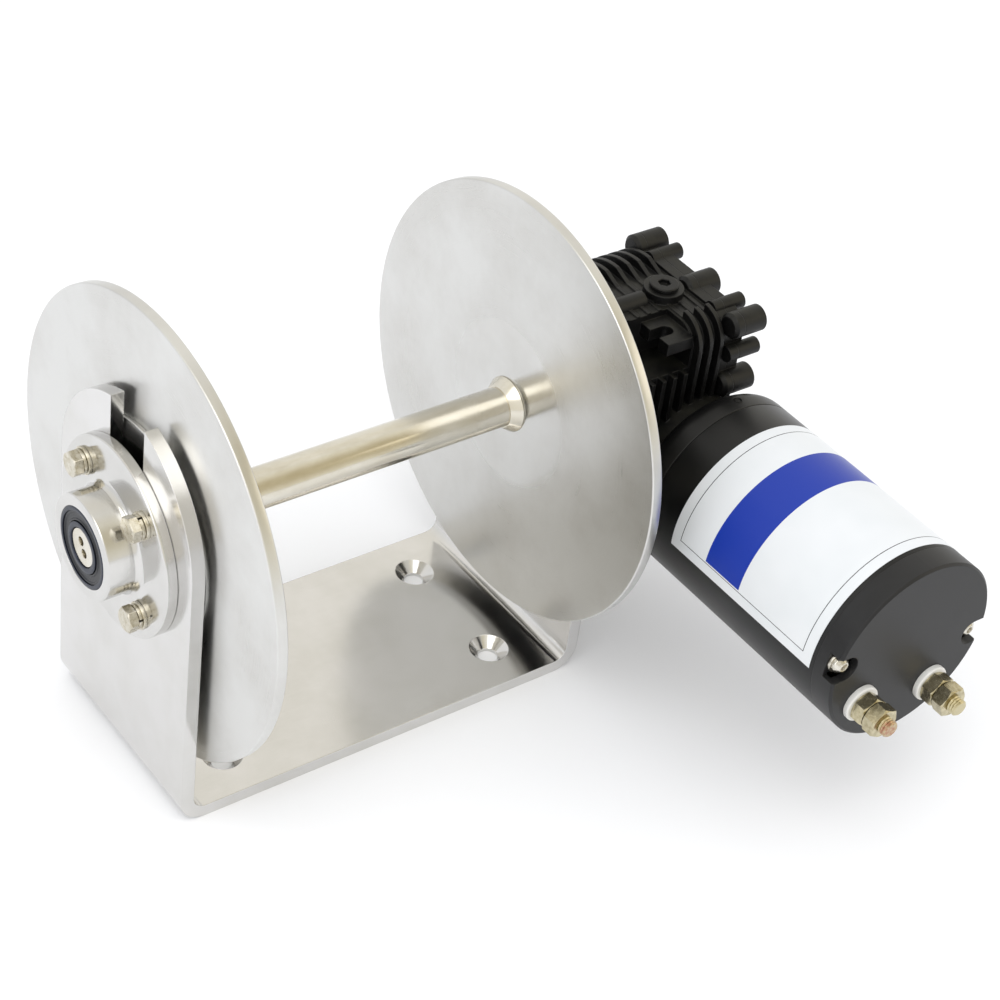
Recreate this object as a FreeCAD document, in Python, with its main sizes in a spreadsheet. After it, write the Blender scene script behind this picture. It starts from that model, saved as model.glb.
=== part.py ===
import FreeCAD, Part
import Sketcher
import math
import os
from FreeCAD import Placement, Rotation, Vector

# Electric horizontal-drum winch for a deck: a folded bracket carries a drum on a long spindle. One end of
# the spindle turns in a flanged ball bearing, the other is keyed into a worm gearbox driven by a motor.
# Frame: origin at the centre of the deck-hole pattern on the underside of the base, +Z up, +X along the
# drum axis towards the gearbox, -Y the side the motor points to. Millimetres and degrees.

SIZES = [
    # folded bracket
    ("base_length", 206.0), ("base_depth", 104.0), ("plate_thick", 6.0), ("bend_radius", 6.0),
    ("plate_height", 180.0), ("axis_height", 118.7), ("slot_width", 26.0),
    ("deck_hole_x", 140.0), ("deck_hole_y", 60.0), ("deck_hole_d", 9.0), ("deck_sink_d", 18.0),
    # drum
    ("cheek_d", 200.0), ("cheek_thick", 5.0), ("plate_gap", 3.0), ("drive_gap", 6.0),
    ("hub_disc_d", 96.0), ("hub_disc_thick", 2.0), ("spindle_d", 18.0), ("collar_d", 26.0),
    ("collar_length", 5.0), ("edge_break", 0.5),
    # outboard bearing and its housing
    ("bearing_bore", 17.0), ("bearing_od", 35.0), ("bearing_width", 10.0), ("ring_wall", 2.5),
    ("ball_d", 4.76), ("ball_play", 0.04), ("seal_thick", 0.9), ("seal_seat", 0.6),
    ("cage_wall", 1.4), ("flange_d", 85.0), ("flange_thick", 5.0), ("bearing_hub_d", 45.0),
    ("bearing_hub_length", 14.0), ("housing_bore", 28.0), ("housing_bolt_pcd", 65.0), ("hub_fillet", 3.0),
    # fasteners
    ("bolt_six_d", 6.0), ("bolt_six_af", 10.0), ("bolt_six_head", 4.0), ("washer_six_d", 12.0),
    ("washer_six_thick", 1.6), ("spring_washer_d", 10.6), ("spring_washer_thick", 1.6),
    ("hole_play", 0.3),
    # gearbox casting
    ("pad_d", 84.0), ("pad_thick", 4.0), ("core_length", 60.0), ("core_front", 41.0), ("core_rear", 32.0),
    ("core_top", 44.3), ("core_bottom", 44.3), ("casting_wall", 5.0), ("corner_front", 10.0),
    ("corner_rear", 22.0), ("chamber_d", 54.0), ("fin_height", 4.0), ("fin_thick", 2.0), ("fin_pitch", 6.0),
    ("fin_start", 14.0), ("fin_count", 8.0), ("fin_low", 0.6), ("relief_front", 31.0),
    ("relief_rear", 0.5), ("relief_slope", 10.0), ("flange_step", 1.5), ("split_flange", 5.0),
    ("cover_thick", 6.0), ("boss_d", 12.0), ("boss_reach", 6.0), ("boss_end_round", 1.5),
    ("boss_top", 42.8), ("boss_front", 43.5), ("boss_rear", 24.7), ("boss_low", 12.0),
    ("boss_bottom", 42.8), ("rib_boss_d", 7.5), ("neck_d", 66.0), ("neck_length", 12.0),
    ("tunnel_d", 26.0), ("gearbox_bolt_pcd", 70.0), ("tap_length", 9.0), ("cover_screw_d", 5.0),
    ("cover_screw_head_d", 8.5), ("cover_screw_head", 5.0),
    ("plug_x", 52.3), ("plug_forward", 12.0), ("plug_d", 13.0), ("plug_boss_d", 18.0), ("plug_length", 9.0),
    ("left_boss_start", 15.0), ("left_boss_end", 40.5), ("left_boss_d", 9.0),
    ("lug_start", 33.0), ("lug_width", 14.0), ("lug_rear", 22.0), ("lug_thick", 6.0), ("lug_drop", 3.0),
    ("lug_slot", 6.5), ("lug_slot_end", 9.4), ("pocket_start", 9.0), ("pocket_drop", 19.0),
    # gear pair
    ("gear_module", 1.25), ("wheel_teeth", 30.0), ("worm_pitch_d", 12.5), ("wheel_face", 10.0),
    ("worm_length", 33.0), ("worm_reach", 55.4), ("tooth_width", 1.7), ("thread_width", 1.6),
    ("tooth_rise", 1.1), ("tooth_root", 1.45), ("sleeve_d", 26.0), ("running_gap", 0.05),
    ("bush_wall", 3.0), ("seal_wall", 5.0), ("oil_seal_width", 3.0), ("key_width", 5.0), ("key_length", 20.0),
    ("end_washer_d", 30.0), ("end_washer_thick", 3.0), ("end_screw_d", 8.0), ("end_screw_af", 13.0),
    ("end_screw_head", 5.3),
    # motor
    ("motor_d", 87.0), ("motor_end", 190.0), ("bell_length", 16.0), ("bell_round", 10.0), ("tube_wall", 2.5),
    ("cap_length", 12.0), ("cap_wall", 4.0), ("cap_edge", 1.0), ("shaft_d", 10.0), ("worm_shaft_d", 6.0),
    ("magnet_inner_d", 55.0), ("magnet_gap", 0.2), ("magnet_span", 68.0), ("magnet_length", 74.0),
    ("core_d", 53.0), ("stack_length", 60.0), ("stack_slots", 12.0), ("slot_mouth", 4.0), ("slot_depth", 8.0),
    ("winding_d", 48.0), ("winding_length", 9.0), ("commutator_d", 26.0), ("commutator_length", 14.0),
    ("motor_twist", 9.0), ("through_bolt_pcd", 76.0), ("through_bolt_d", 5.0), ("bolt_notch_d", 12.0),
    ("bolt_notch_depth", 6.5), ("through_head_d", 8.4), ("through_head_thick", 3.6), ("through_washer_d", 10.0),
    ("brush_width", 6.0), ("brush_height", 11.0), ("brush_gap", 0.1), ("brush_plate_thick", 2.0),
    # terminals
    ("terminal_pcd", 60.0), ("stud_d", 8.0), ("stud_length", 26.5), ("stud_tip", 4.0), ("stud_relief", 0.4),
    ("insulator_d", 17.0), ("insulator_thick", 2.6), ("insulator_sleeve_d", 11.0), ("nut_af", 13.0),
    ("nut_thick", 6.4), ("nut_gap", 0.4),
]

doc = FreeCAD.newDocument("DeckWinch")
sheet = doc.addObject("Spreadsheet::Sheet", "Sizes")
for row, (alias, number) in enumerate(SIZES, start=1):
    sheet.set(f"A{row}", str(number))
    sheet.setAlias(f"A{row}", alias)
doc.recompute()


class Size:
    """A length or angle with both its value and the sheet expression that it is bound to."""

    def __init__(self, value, text):
        self.value = float(value)
        self.text = text

    def join(self, other, sign, value):
        return Size(value, f"({self.text} {sign} {as_size(other).text})")

    def __add__(self, other):
        return self.join(other, "+", self.value + as_size(other).value)

    def __sub__(self, other):
        return self.join(other, "-", self.value - as_size(other).value)

    def __mul__(self, other):
        return self.join(other, "*", self.value * as_size(other).value)

    def __truediv__(self, other):
        return self.join(other, "/", self.value / as_size(other).value)

    def __radd__(self, other):
        return as_size(other) + self

    def __rsub__(self, other):
        return as_size(other) - self

    def __neg__(self):
        return Size(-self.value, f"(0 - {self.text})")


def as_size(thing):
    """A plain number as a Size; a Size stays itself."""
    if isinstance(thing, Size):
        return thing
    return Size(thing, repr(float(thing)))


def size(alias):
    """The sheet's cell with this alias."""
    return Size(sheet.get(alias), f"Sizes.{alias}")


def bind(thing, prop, length):
    """Bind one property of an object to a Size."""
    thing.setExpression(prop, as_size(length).text)


ALONG = {
    "x": Rotation(Vector(0, 1, 0), 90),
    "-x": Rotation(Vector(0, 1, 0), -90),
    "y": Rotation(Vector(1, 0, 0), -90),
    "-y": Rotation(Vector(1, 0, 0), 90),
    "z": Rotation(),
    "-z": Rotation(Vector(1, 0, 0), 180),
}
nodes = {}


def place(thing, at, rotation=None):
    """Put an object at three Sizes, each bound, with an optional rotation."""
    where = [as_size(c) for c in at]
    thing.Placement = Placement(Vector(*[c.value for c in where]), rotation or Rotation())
    for letter, length in zip("xyz", where):
        bind(thing, f"Placement.Base.{letter}", length)
    return thing


def cylinder(name, radius, length, at, along="z"):
    thing = doc.addObject("Part::Cylinder", name)
    bind(thing, "Radius", radius)
    bind(thing, "Height", length)
    return place(thing, at, ALONG[along])


def cone(name, radius_foot, radius_top, length, at, along="z"):
    thing = doc.addObject("Part::Cone", name)
    bind(thing, "Radius1", radius_foot)
    bind(thing, "Radius2", radius_top)
    bind(thing, "Height", length)
    return place(thing, at, ALONG[along])


def block(name, lengths, at):
    thing = doc.addObject("Part::Box", name)
    for prop, length in zip(("Length", "Width", "Height"), lengths):
        bind(thing, prop, length)
    return place(thing, at)


def hexagon(name, across_flats, length, at, along="z", turn=0.0):
    """A hexagonal prism, turned by an angle about its own axis."""
    thing = doc.addObject("Part::Prism", name)
    thing.Polygon = 6
    bind(thing, "Circumradius", across_flats / math.sqrt(3.0))
    bind(thing, "Height", length)
    return place(thing, at, ALONG[along] * Rotation(Vector(0, 0, 1), turn))


def fuse(name, things, refine=True):
    if len(things) == 1:
        return things[0]
    thing = doc.addObject("Part::MultiFuse", name)
    thing.Shapes = things
    thing.Refine = refine
    return thing


def cut(name, base, tools):
    thing = doc.addObject("Part::Cut", name)
    thing.Base = base
    thing.Tool = fuse(name + "_tools", tools, refine=False)
    thing.Refine = True
    return thing


def common(name, things):
    thing = doc.addObject("Part::MultiCommon", name)
    thing.Shapes = things
    thing.Refine = True
    return thing


def group(name, things):
    """Identical separate pieces kept as one sub-part."""
    thing = doc.addObject("Part::Compound", name)
    thing.Links = things
    return thing


def node(label, thing):
    """Name a finished sub-part; the label is also its file name."""
    thing.Label = label
    nodes[label] = thing
    return thing


def new_body(name):
    return doc.addObject("PartDesign::Body", name)


def new_sketch(body, name, plane_role, offset=0.0):
    plane = next(f for f in body.Origin.OriginFeatures if f.Role == plane_role)
    sketch = body.newObject("Sketcher::SketchObject", name)
    sketch.AttachmentSupport = [(plane, "")]
    sketch.MapMode = "FlatFace"
    bind(sketch, "AttachmentOffset.Base.z", offset)
    return sketch


def fix_point(sketch, geometry, vertex, point):
    """Hold one vertex of a sketch at two bound distances from the sketch's origin."""
    for kind, length in zip(("DistanceX", "DistanceY"), point):
        length = as_size(length)
        index = sketch.addConstraint(Sketcher.Constraint(kind, -1, 1, geometry, vertex, length.value))
        bind(sketch, f"Constraints[{index}]", length)


def draw_polygon(sketch, points):
    """A closed outline of straight lines through points given as pairs of Sizes."""
    flat = [Vector(as_size(u).value, as_size(v).value, 0) for u, v in points]
    count = len(points)
    first = sketch.GeometryCount
    for i in range(count):
        sketch.addGeometry(Part.LineSegment(flat[i], flat[(i + 1) % count]), False)
    for i in range(count):
        follower = first + (i + 1) % count
        sketch.addConstraint(Sketcher.Constraint("Coincident", first + i, 2, follower, 1))
    for i, point in enumerate(points):
        fix_point(sketch, first + i, 1, point)


def draw_circle(sketch, centre, radius):
    radius = as_size(radius)
    middle = Vector(as_size(centre[0]).value, as_size(centre[1]).value, 0)
    index = sketch.addGeometry(Part.Circle(middle, Vector(0, 0, 1), radius.value), False)
    fix_point(sketch, index, 3, centre)
    bound = sketch.addConstraint(Sketcher.Constraint("Radius", index, radius.value))
    bind(sketch, f"Constraints[{bound}]", radius)


def draw_rounded_box(sketch, low, high, radii):
    """A rectangle with an arc at each corner; radii go round from the low-low corner anticlockwise."""
    u0, v0 = low
    u1, v1 = high
    r0, r1, r2, r3 = radii
    stops = [
        (u0 + r0, v0), (u1 - r1, v0), (u1, v0 + r1), (u1, v1 - r2),
        (u1 - r2, v1), (u0 + r3, v1), (u0, v1 - r3), (u0, v0 + r0),
    ]
    centres = [(u1 - r1, v0 + r1), (u1 - r2, v1 - r2), (u0 + r3, v1 - r3), (u0 + r0, v0 + r0)]
    flat = [Vector(u.value, v.value, 0) for u, v in stops]
    for i in range(4):
        sketch.addGeometry(Part.LineSegment(flat[2 * i], flat[2 * i + 1]), False)
        radius = (r1, r2, r3, r0)[i].value
        middle = Vector(centres[i][0].value, centres[i][1].value, 0)
        start = -math.pi / 2 + i * math.pi / 2
        circle = Part.Circle(middle, Vector(0, 0, 1), radius)
        sketch.addGeometry(Part.ArcOfCircle(circle, start, start + math.pi / 2), False)
    for i in range(4):
        line = 2 * i
        arc = line + 1
        sketch.addConstraint(Sketcher.Constraint("Coincident", line, 2, arc, 1))
        sketch.addConstraint(Sketcher.Constraint("Coincident", arc, 2, (arc + 1) % 8, 1))
        fix_point(sketch, line, 1, stops[2 * i])
        fix_point(sketch, line, 2, stops[2 * i + 1])
        radius = (r1, r2, r3, r0)[i]
        bound = sketch.addConstraint(Sketcher.Constraint("Radius", arc, radius.value))
        bind(sketch, f"Constraints[{bound}]", radius)


def pad(body, sketch, length):
    feature = body.newObject("PartDesign::Pad", body.Name + "_pad")
    feature.Profile = sketch
    bind(feature, "Length", length)
    return feature


def turned(name, profile, at, along="x"):
    """A piece turned on a lathe: profile points are (distance along the axis, radius)."""
    body = new_body(name)
    sketch = new_sketch(body, name + "_profile", "XZ_Plane")
    draw_polygon(sketch, profile)
    feature = body.newObject("PartDesign::Revolution", name + "_turn")
    feature.Profile = sketch
    feature.ReferenceAxis = (sketch, ["H_Axis"])
    feature.Angle = 360
    turn = {"x": 0, "-y": -90, "-x": 180, "y": 90}[along]
    return place(body, at, Rotation(Vector(0, 0, 1), turn))


def ring(name, inner, outer, length, at, along="x"):
    """A plain ring; its foot is at the given place and it grows along the axis."""
    profile = [(0.0, inner), (length, inner), (length, outer), (0.0, outer)]
    return turned(name, profile, at, along)


def disc(name, outer, inner, length, edge, at, along="x"):
    """A disc with a bore and broken edges."""
    profile = [
        (0.0, inner), (length, inner), (length, outer - edge), (length - edge, outer),
        (edge, outer), (0.0, outer - edge),
    ]
    return turned(name, profile, at, along)


def edges_at(shape, spots, direction):
    """Names of the straight edges along a direction whose middle is at one of the (x, z) spots."""
    names = []
    for i, edge in enumerate(shape.Edges, start=1):
        if edge.Curve.TypeId != "Part::GeomLine":
            continue
        if abs(edge.tangentAt(edge.FirstParameter).dot(direction)) < 0.999:
            continue
        middle = edge.CenterOfMass
        if any(abs(middle.x - x) < 0.01 and abs(middle.z - z) < 0.01 for x, z in spots):
            names.append(f"Edge{i}")
    return names


def round_edge(body, radius, rounding):
    """Round the edge of a turned body that has this radius and lies at its foot."""
    tip = body.Tip
    names = [f"Edge{i}" for i, edge in enumerate(tip.Shape.Edges, start=1)
             if edge.Curve.TypeId == "Part::GeomCircle" and abs(edge.Curve.Radius - radius.value) < 0.01
             and abs(edge.Curve.Center.x) < 0.01]
    fillet = body.newObject("PartDesign::Fillet", body.Name + "_round")
    fillet.Base = (tip, names)
    bind(fillet, "Radius", rounding)


def around(radius, angles):
    """Pairs (across, up) on a circle for angles in degrees; each stays bound to the radius."""
    return [(radius * math.cos(math.radians(a)), radius * math.sin(math.radians(a))) for a in angles]


# ---------------------------------------------------------------- places that several pieces share
base_length = size("base_length")
base_depth = size("base_depth")
plate_thick = size("plate_thick")
axis_height = size("axis_height")
edge_break = size("edge_break")
spindle_r = size("spindle_d") / 2
hole_play = size("hole_play")
running_gap = size("running_gap")

plate_outer = base_length / 2
plate_inner = plate_outer - plate_thick
cheek_thick = size("cheek_thick")
left_cheek_x = -plate_inner + size("plate_gap")
cheek_end_x = plate_inner - size("drive_gap")
right_cheek_x = cheek_end_x - cheek_thick

bearing_hub_length = size("bearing_hub_length")
flange_thick = size("flange_thick")
bearing_width = size("bearing_width")
bearing_face = -plate_outer - flange_thick - bearing_hub_length
bearing_back = bearing_face + bearing_width
bearing_mid = bearing_face + bearing_width / 2
bolt_spots = around(size("housing_bolt_pcd") / 2, (45, 135, 225, 315))
gearbox_spots = around(size("gearbox_bolt_pcd") / 2, (45, 135, 225, 315))

pad_end = plate_outer + size("pad_thick")
flange_x = pad_end + size("core_length")
cover_x = flange_x + size("split_flange")
cover_end = cover_x + size("cover_thick")
boss_end = cover_end + size("boss_reach")
chamber_x = pad_end + size("casting_wall") * 2
lug_x = plate_outer + size("lug_start")
lug_end = lug_x + size("lug_width")
plug_x = plate_outer + size("plug_x")
plug_y = -size("plug_forward")
sleeve_r = size("sleeve_d") / 2
sleeve_end = cover_end + edge_break

gear_module = size("gear_module")
wheel_teeth = size("wheel_teeth")
wheel_r = gear_module * wheel_teeth / 2
worm_r = size("worm_pitch_d") / 2
worm_x = plate_outer + size("worm_reach")
worm_z = axis_height - wheel_r - worm_r

motor_r = size("motor_d") / 2
motor_end = size("motor_end")
core_front = size("core_front")
neck_end = core_front + size("neck_length")
bell_end = neck_end + size("bell_length")
cap_start = motor_end - size("cap_length")
stud_spots = [(worm_x + across, worm_z + up)
              for across, up in around(size("terminal_pcd") / 2, (-145, -55))]
tie_spots = around(size("through_bolt_pcd") / 2, (180 - 9, -9))


def on_motor(distance):
    """A place on the motor axis, counted forward from the drum axis."""
    return (worm_x, -as_size(distance), worm_z)


# ---------------------------------------------------------------- bracket
def make_bracket():
    """Plate folded into a U; both upright ends are rounded over, the outboard one has an open slot."""
    body = new_body("channel")
    sketch = new_sketch(body, "channel_section", "XZ_Plane", -base_depth / 2)
    height = size("plate_height")
    draw_polygon(sketch, [
        (-plate_outer, 0), (plate_outer, 0), (plate_outer, height), (plate_inner, height),
        (plate_inner, plate_thick), (-plate_inner, plate_thick), (-plate_inner, height),
        (-plate_outer, height),
    ])
    blank = pad(body, sketch, base_depth)
    doc.recompute()
    outer = plate_outer.value
    inner = plate_inner.value
    bends = [
        ("outer_bend", [(-outer, 0), (outer, 0)], size("bend_radius") + plate_thick),
        ("inner_bend", [(-inner, plate_thick.value), (inner, plate_thick.value)], size("bend_radius")),
    ]
    for name, spots, radius in bends:
        fillet = body.newObject("PartDesign::Fillet", name)
        fillet.Base = (blank, edges_at(blank.Shape, spots, Vector(0, 1, 0)))
        bind(fillet, "Radius", radius)
        doc.recompute()
        blank = fillet
    round_centre = height - base_depth / 2
    outline = fuse("bracket_outline", [
        block("outline_foot", (base_length, base_depth, round_centre),
              (-plate_outer, -base_depth / 2, 0)),
        cylinder("outline_top", base_depth / 2, base_length, (-plate_outer, 0, round_centre), "x"),
    ])
    shaped = common("bracket_blank", [body, outline])
    half_slot = size("slot_width") / 2
    tools = [
        cylinder("slot_foot", half_slot, plate_thick, (-plate_outer, 0, axis_height), "x"),
        block("slot_mouth_cut", (plate_thick, size("slot_width"), height - axis_height),
              (-plate_outer, -half_slot, axis_height)),
        cylinder("drive_side_hole", half_slot, plate_thick, (plate_inner, 0, axis_height), "x"),
    ]
    clear_r = size("bolt_six_d") / 2 + hole_play
    for i, (across, up) in enumerate(bolt_spots):
        tools.append(cylinder(f"bearing_bolt_tap{i}", size("bolt_six_d") / 2, plate_thick,
                              (-plate_outer, across, axis_height + up), "x"))
    for i, (across, up) in enumerate(gearbox_spots):
        at = (plate_inner, across, axis_height + up)
        tools.append(cylinder(f"gearbox_screw_hole{i}", clear_r, plate_thick, at, "x"))
        tools.append(cone(f"gearbox_screw_sink{i}", clear_r * 2, clear_r, clear_r, at, "x"))
    hole_r = size("deck_hole_d") / 2
    sink_r = size("deck_sink_d") / 2
    for i, (side, face) in enumerate([(-1, -1), (-1, 1), (1, -1), (1, 1)]):
        at_x = size("deck_hole_x") / 2 * side
        at_y = size("deck_hole_y") / 2 * face
        tools.append(cylinder(f"deck_hole{i}", hole_r, plate_thick, (at_x, at_y, 0)))
        tools.append(cone(f"deck_sink{i}", hole_r, sink_r, sink_r - hole_r,
                          (at_x, at_y, plate_thick - sink_r + hole_r)))
    return node("bracket", cut("bracket", shaped, tools))


# ---------------------------------------------------------------- drum
def make_drum():
    """Two polished cheeks welded to the spindle through conical collars, stiffened outside by a disc."""
    cheek_r = size("cheek_d") / 2
    disc_r = size("hub_disc_d") / 2
    disc_thick = size("hub_disc_thick")
    collar_length = size("collar_length")
    at_z = axis_height
    node("left_cheek", disc("left_cheek", cheek_r, spindle_r, cheek_thick, edge_break,
                            (left_cheek_x, 0, at_z)))
    node("right_cheek", disc("right_cheek", cheek_r, spindle_r, cheek_thick, edge_break,
                             (right_cheek_x, 0, at_z)))
    node("left_hub_disc", disc("left_hub_disc", disc_r, spindle_r, disc_thick, edge_break,
                               (left_cheek_x - disc_thick, 0, at_z)))
    node("right_hub_disc", disc("right_hub_disc", disc_r, spindle_r, disc_thick, edge_break,
                                (cheek_end_x, 0, at_z)))
    profile = [
        (0.0, spindle_r), (collar_length, spindle_r), (collar_length, spindle_r + edge_break),
        (0.0, size("collar_d") / 2),
    ]
    node("left_collar", turned("left_collar", profile, (left_cheek_x + cheek_thick, 0, at_z), "x"))
    node("right_collar", turned("right_collar", profile, (right_cheek_x, 0, at_z), "-x"))


def make_spindle():
    """A long shaft with a journal for the ball bearing at one end and a keyway at the other."""
    journal_r = size("bearing_bore") / 2
    start = bearing_face + edge_break
    length = sleeve_end - start
    step = bearing_back - start
    shaft = turned("spindle_turned", [
        (0.0, 0.0), (length, 0.0), (length, spindle_r - edge_break), (length - edge_break, spindle_r),
        (step, spindle_r), (step, journal_r), (edge_break, journal_r), (0.0, journal_r - edge_break),
    ], (start, 0, axis_height), "x")
    key = size("key_width")
    key_x = worm_x - size("key_length") / 2
    centre_r = size("end_screw_d") / 2
    dimple_r = 1.4
    tools = [
        block("spindle_keyway", (size("key_length"), key, key / 2),
              (key_x, -key / 2, axis_height + spindle_r - key / 2)),
        cylinder("end_thread", centre_r, size("key_length"),
                 (sleeve_end - size("key_length"), 0, axis_height), "x"),
    ]
    for i, (across, up) in enumerate(around(journal_r / 2, (60, 240))):
        tools.append(cone(f"centre_dimple{i}", dimple_r, 0.0, dimple_r, (start, across, axis_height + up), "x"))
    node("spindle", cut("spindle", shaft, tools))
    node("drive_key", block("drive_key", (size("key_length"), key, key),
                            (key_x, -key / 2, axis_height + spindle_r - key / 2)))
    washer_thick = size("end_washer_thick")
    node("spindle_end_washer", ring("spindle_end_washer", centre_r + hole_play, size("end_washer_d") / 2,
                                    washer_thick, (sleeve_end, 0, axis_height)))
    head = hexagon("end_screw_head_body", size("end_screw_af"), size("end_screw_head"),
                   (sleeve_end + washer_thick, 0, axis_height), "x")
    shank = cylinder("end_screw_shank", centre_r, size("key_length") + washer_thick - 2,
                     (sleeve_end - size("key_length") + 2, 0, axis_height), "x")
    node("spindle_end_screw", fuse("spindle_end_screw", [head, shank]))


# ---------------------------------------------------------------- outboard bearing
def make_bearing():
    """Deep-groove ball bearing: two grooved rings, ten balls in a cage and a rubber seal on each side."""
    inner_r = size("bearing_bore") / 2
    outer_r = size("bearing_od") / 2
    wall = size("ring_wall")
    ball_r = size("ball_d") / 2
    play = size("ball_play")
    seat = size("seal_seat")
    seal = size("seal_thick")
    pitch_r = (inner_r + outer_r) / 2
    at = (bearing_face, 0, axis_height)
    race = doc.addObject("Part::Torus", "ball_race")
    bind(race, "Radius1", pitch_r)
    bind(race, "Radius2", ball_r + play)
    place(race, (bearing_mid, 0, axis_height), ALONG["x"])
    step = seal + edge_break
    outer_blank = turned("outer_ring_blank", [
        (0.0, outer_r - wall + seat), (step, outer_r - wall + seat), (step, outer_r - wall),
        (bearing_width - step, outer_r - wall), (bearing_width - step, outer_r - wall + seat),
        (bearing_width, outer_r - wall + seat), (bearing_width, outer_r), (0.0, outer_r),
    ], at)
    node("bearing_outer_ring", cut("bearing_outer_ring", outer_blank, [race]))
    inner_blank = ring("inner_ring_blank", inner_r, inner_r + wall, bearing_width, at)
    node("bearing_inner_ring", cut("bearing_inner_ring", inner_blank, [race]))
    seals = []
    for i, x in enumerate([bearing_face + edge_break, bearing_face + bearing_width - step]):
        seals.append(ring(f"bearing_seal{i}", inner_r + wall + hole_play, outer_r - wall + seat, seal,
                          (x, 0, axis_height)))
    node("bearing_seals", group("bearing_seals", seals))
    count = 10
    spots = around(pitch_r, [i * 360.0 / count for i in range(count)])
    balls = []
    pockets = []
    for i, (across, up) in enumerate(spots):
        for kind, radius, out in (("ball", ball_r, balls), ("pocket", ball_r + play * 2, pockets)):
            sphere = doc.addObject("Part::Sphere", f"{kind}{i}")
            bind(sphere, "Radius", radius)
            out.append(place(sphere, (bearing_mid, across, axis_height + up)))
    node("bearing_balls", group("bearing_balls", balls))
    cage_wall = size("cage_wall")
    cage_width = size("ball_d") + cage_wall
    cage_blank = ring("cage_blank", pitch_r - cage_wall / 2, pitch_r + cage_wall / 2, cage_width,
                      (bearing_mid - cage_width / 2, 0, axis_height))
    node("bearing_cage", cut("bearing_cage", cage_blank, pockets))


def make_bearing_housing():
    """Round flange with a turned hub, bolted over the slot; the bearing sits flush in its mouth."""
    flange_r = size("flange_d") / 2
    hub_r = size("bearing_hub_d") / 2
    bore_r = size("housing_bore") / 2
    seat_r = size("bearing_od") / 2
    depth = flange_thick + bearing_hub_length
    seat_x = depth - bearing_width
    fillet = size("hub_fillet")
    blank = turned("housing_turned", [
        (0.0, bore_r), (seat_x, bore_r), (seat_x, seat_r), (depth, seat_r), (depth, hub_r - edge_break),
        (depth - edge_break, hub_r), (flange_thick + fillet, hub_r), (flange_thick, hub_r + fillet),
        (flange_thick, flange_r - edge_break), (flange_thick - edge_break, flange_r), (0.0, flange_r),
    ], (-plate_outer, 0, axis_height), "-x")
    clear_r = size("bolt_six_d") / 2 + hole_play
    holes = [cylinder(f"housing_hole{i}", clear_r, flange_thick,
                      (-plate_outer - flange_thick, across, axis_height + up), "x")
             for i, (across, up) in enumerate(bolt_spots)]
    node("bearing_housing", cut("bearing_housing", blank, holes))


def make_housing_bolts():
    """Hex bolts outside, each on a plain and a spring washer, screwed into the tapped plate."""
    shank_r = size("bolt_six_d") / 2
    washer_thick = size("washer_six_thick")
    spring_thick = size("spring_washer_thick")
    washer_x = -plate_outer - flange_thick - washer_thick
    spring_x = washer_x - spring_thick
    head_x = spring_x - size("bolt_six_head")
    bolts = []
    washers = []
    springs = []
    for i, (across, up) in enumerate(bolt_spots):
        z = axis_height + up
        head = hexagon(f"housing_bolt_head{i}", size("bolt_six_af"), size("bolt_six_head"),
                       (head_x, across, z), "x", 14.0 + 21.0 * i)
        shank = cylinder(f"housing_bolt_shank{i}", shank_r, -plate_inner - spring_x,
                         (spring_x, across, z), "x")
        bolts.append(fuse(f"housing_bolt{i}", [head, shank]))
        washers.append(ring(f"housing_washer{i}", shank_r + hole_play, size("washer_six_d") / 2,
                            washer_thick, (washer_x, across, z)))
        springs.append(ring(f"housing_spring{i}", shank_r + hole_play, size("spring_washer_d") / 2,
                            spring_thick, (spring_x, across, z)))
    node("housing_bolts", group("housing_bolts", bolts))
    node("housing_washers", group("housing_washers", washers))
    node("housing_spring_washers", group("housing_spring_washers", springs))


# ---------------------------------------------------------------- gearbox
def casting_prism(name, x, length, grow):
    """The casting's side outline, grown or shrunk all round, as a slab of the given length."""
    front = -core_front - grow
    rear = size("core_rear") + grow
    low = axis_height - size("core_bottom") - grow
    high = axis_height + size("core_top") + grow
    corner_front = size("corner_front") + grow
    corner_rear = size("corner_rear") + grow
    body = new_body(name)
    sketch = new_sketch(body, name + "_outline", "YZ_Plane", x)
    draw_rounded_box(sketch, (front, low), (rear, high),
                     (corner_front, corner_rear, corner_rear, corner_front))
    pad(body, sketch, length)
    return body


def boss_spots():
    """Screw bosses round the split line: along the top, down the front, along the bottom, up the rear."""
    top = axis_height + size("boss_top")
    bottom = axis_height - size("boss_bottom")
    rear = size("boss_rear")
    front = -size("boss_front")
    middle = -size("plug_forward")
    clear_of_neck = -size("lug_rear") - size("boss_d") / 2
    rear_side = size("core_rear") + size("flange_step")
    return [(rear, top), (middle, top), (front, top), (front, axis_height + size("boss_low")),
            (clear_of_neck, bottom), (0, bottom), (rear, bottom), (rear_side, axis_height)]


def rib_spots():
    """Smaller bosses between the screw bosses."""
    front = -size("boss_front") - size("flange_step")
    top = axis_height + size("core_top")
    return [(size("boss_rear") / 2, top), (-size("relief_front"), top),
            (front, top - size("cover_screw_d") * 3)]


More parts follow.
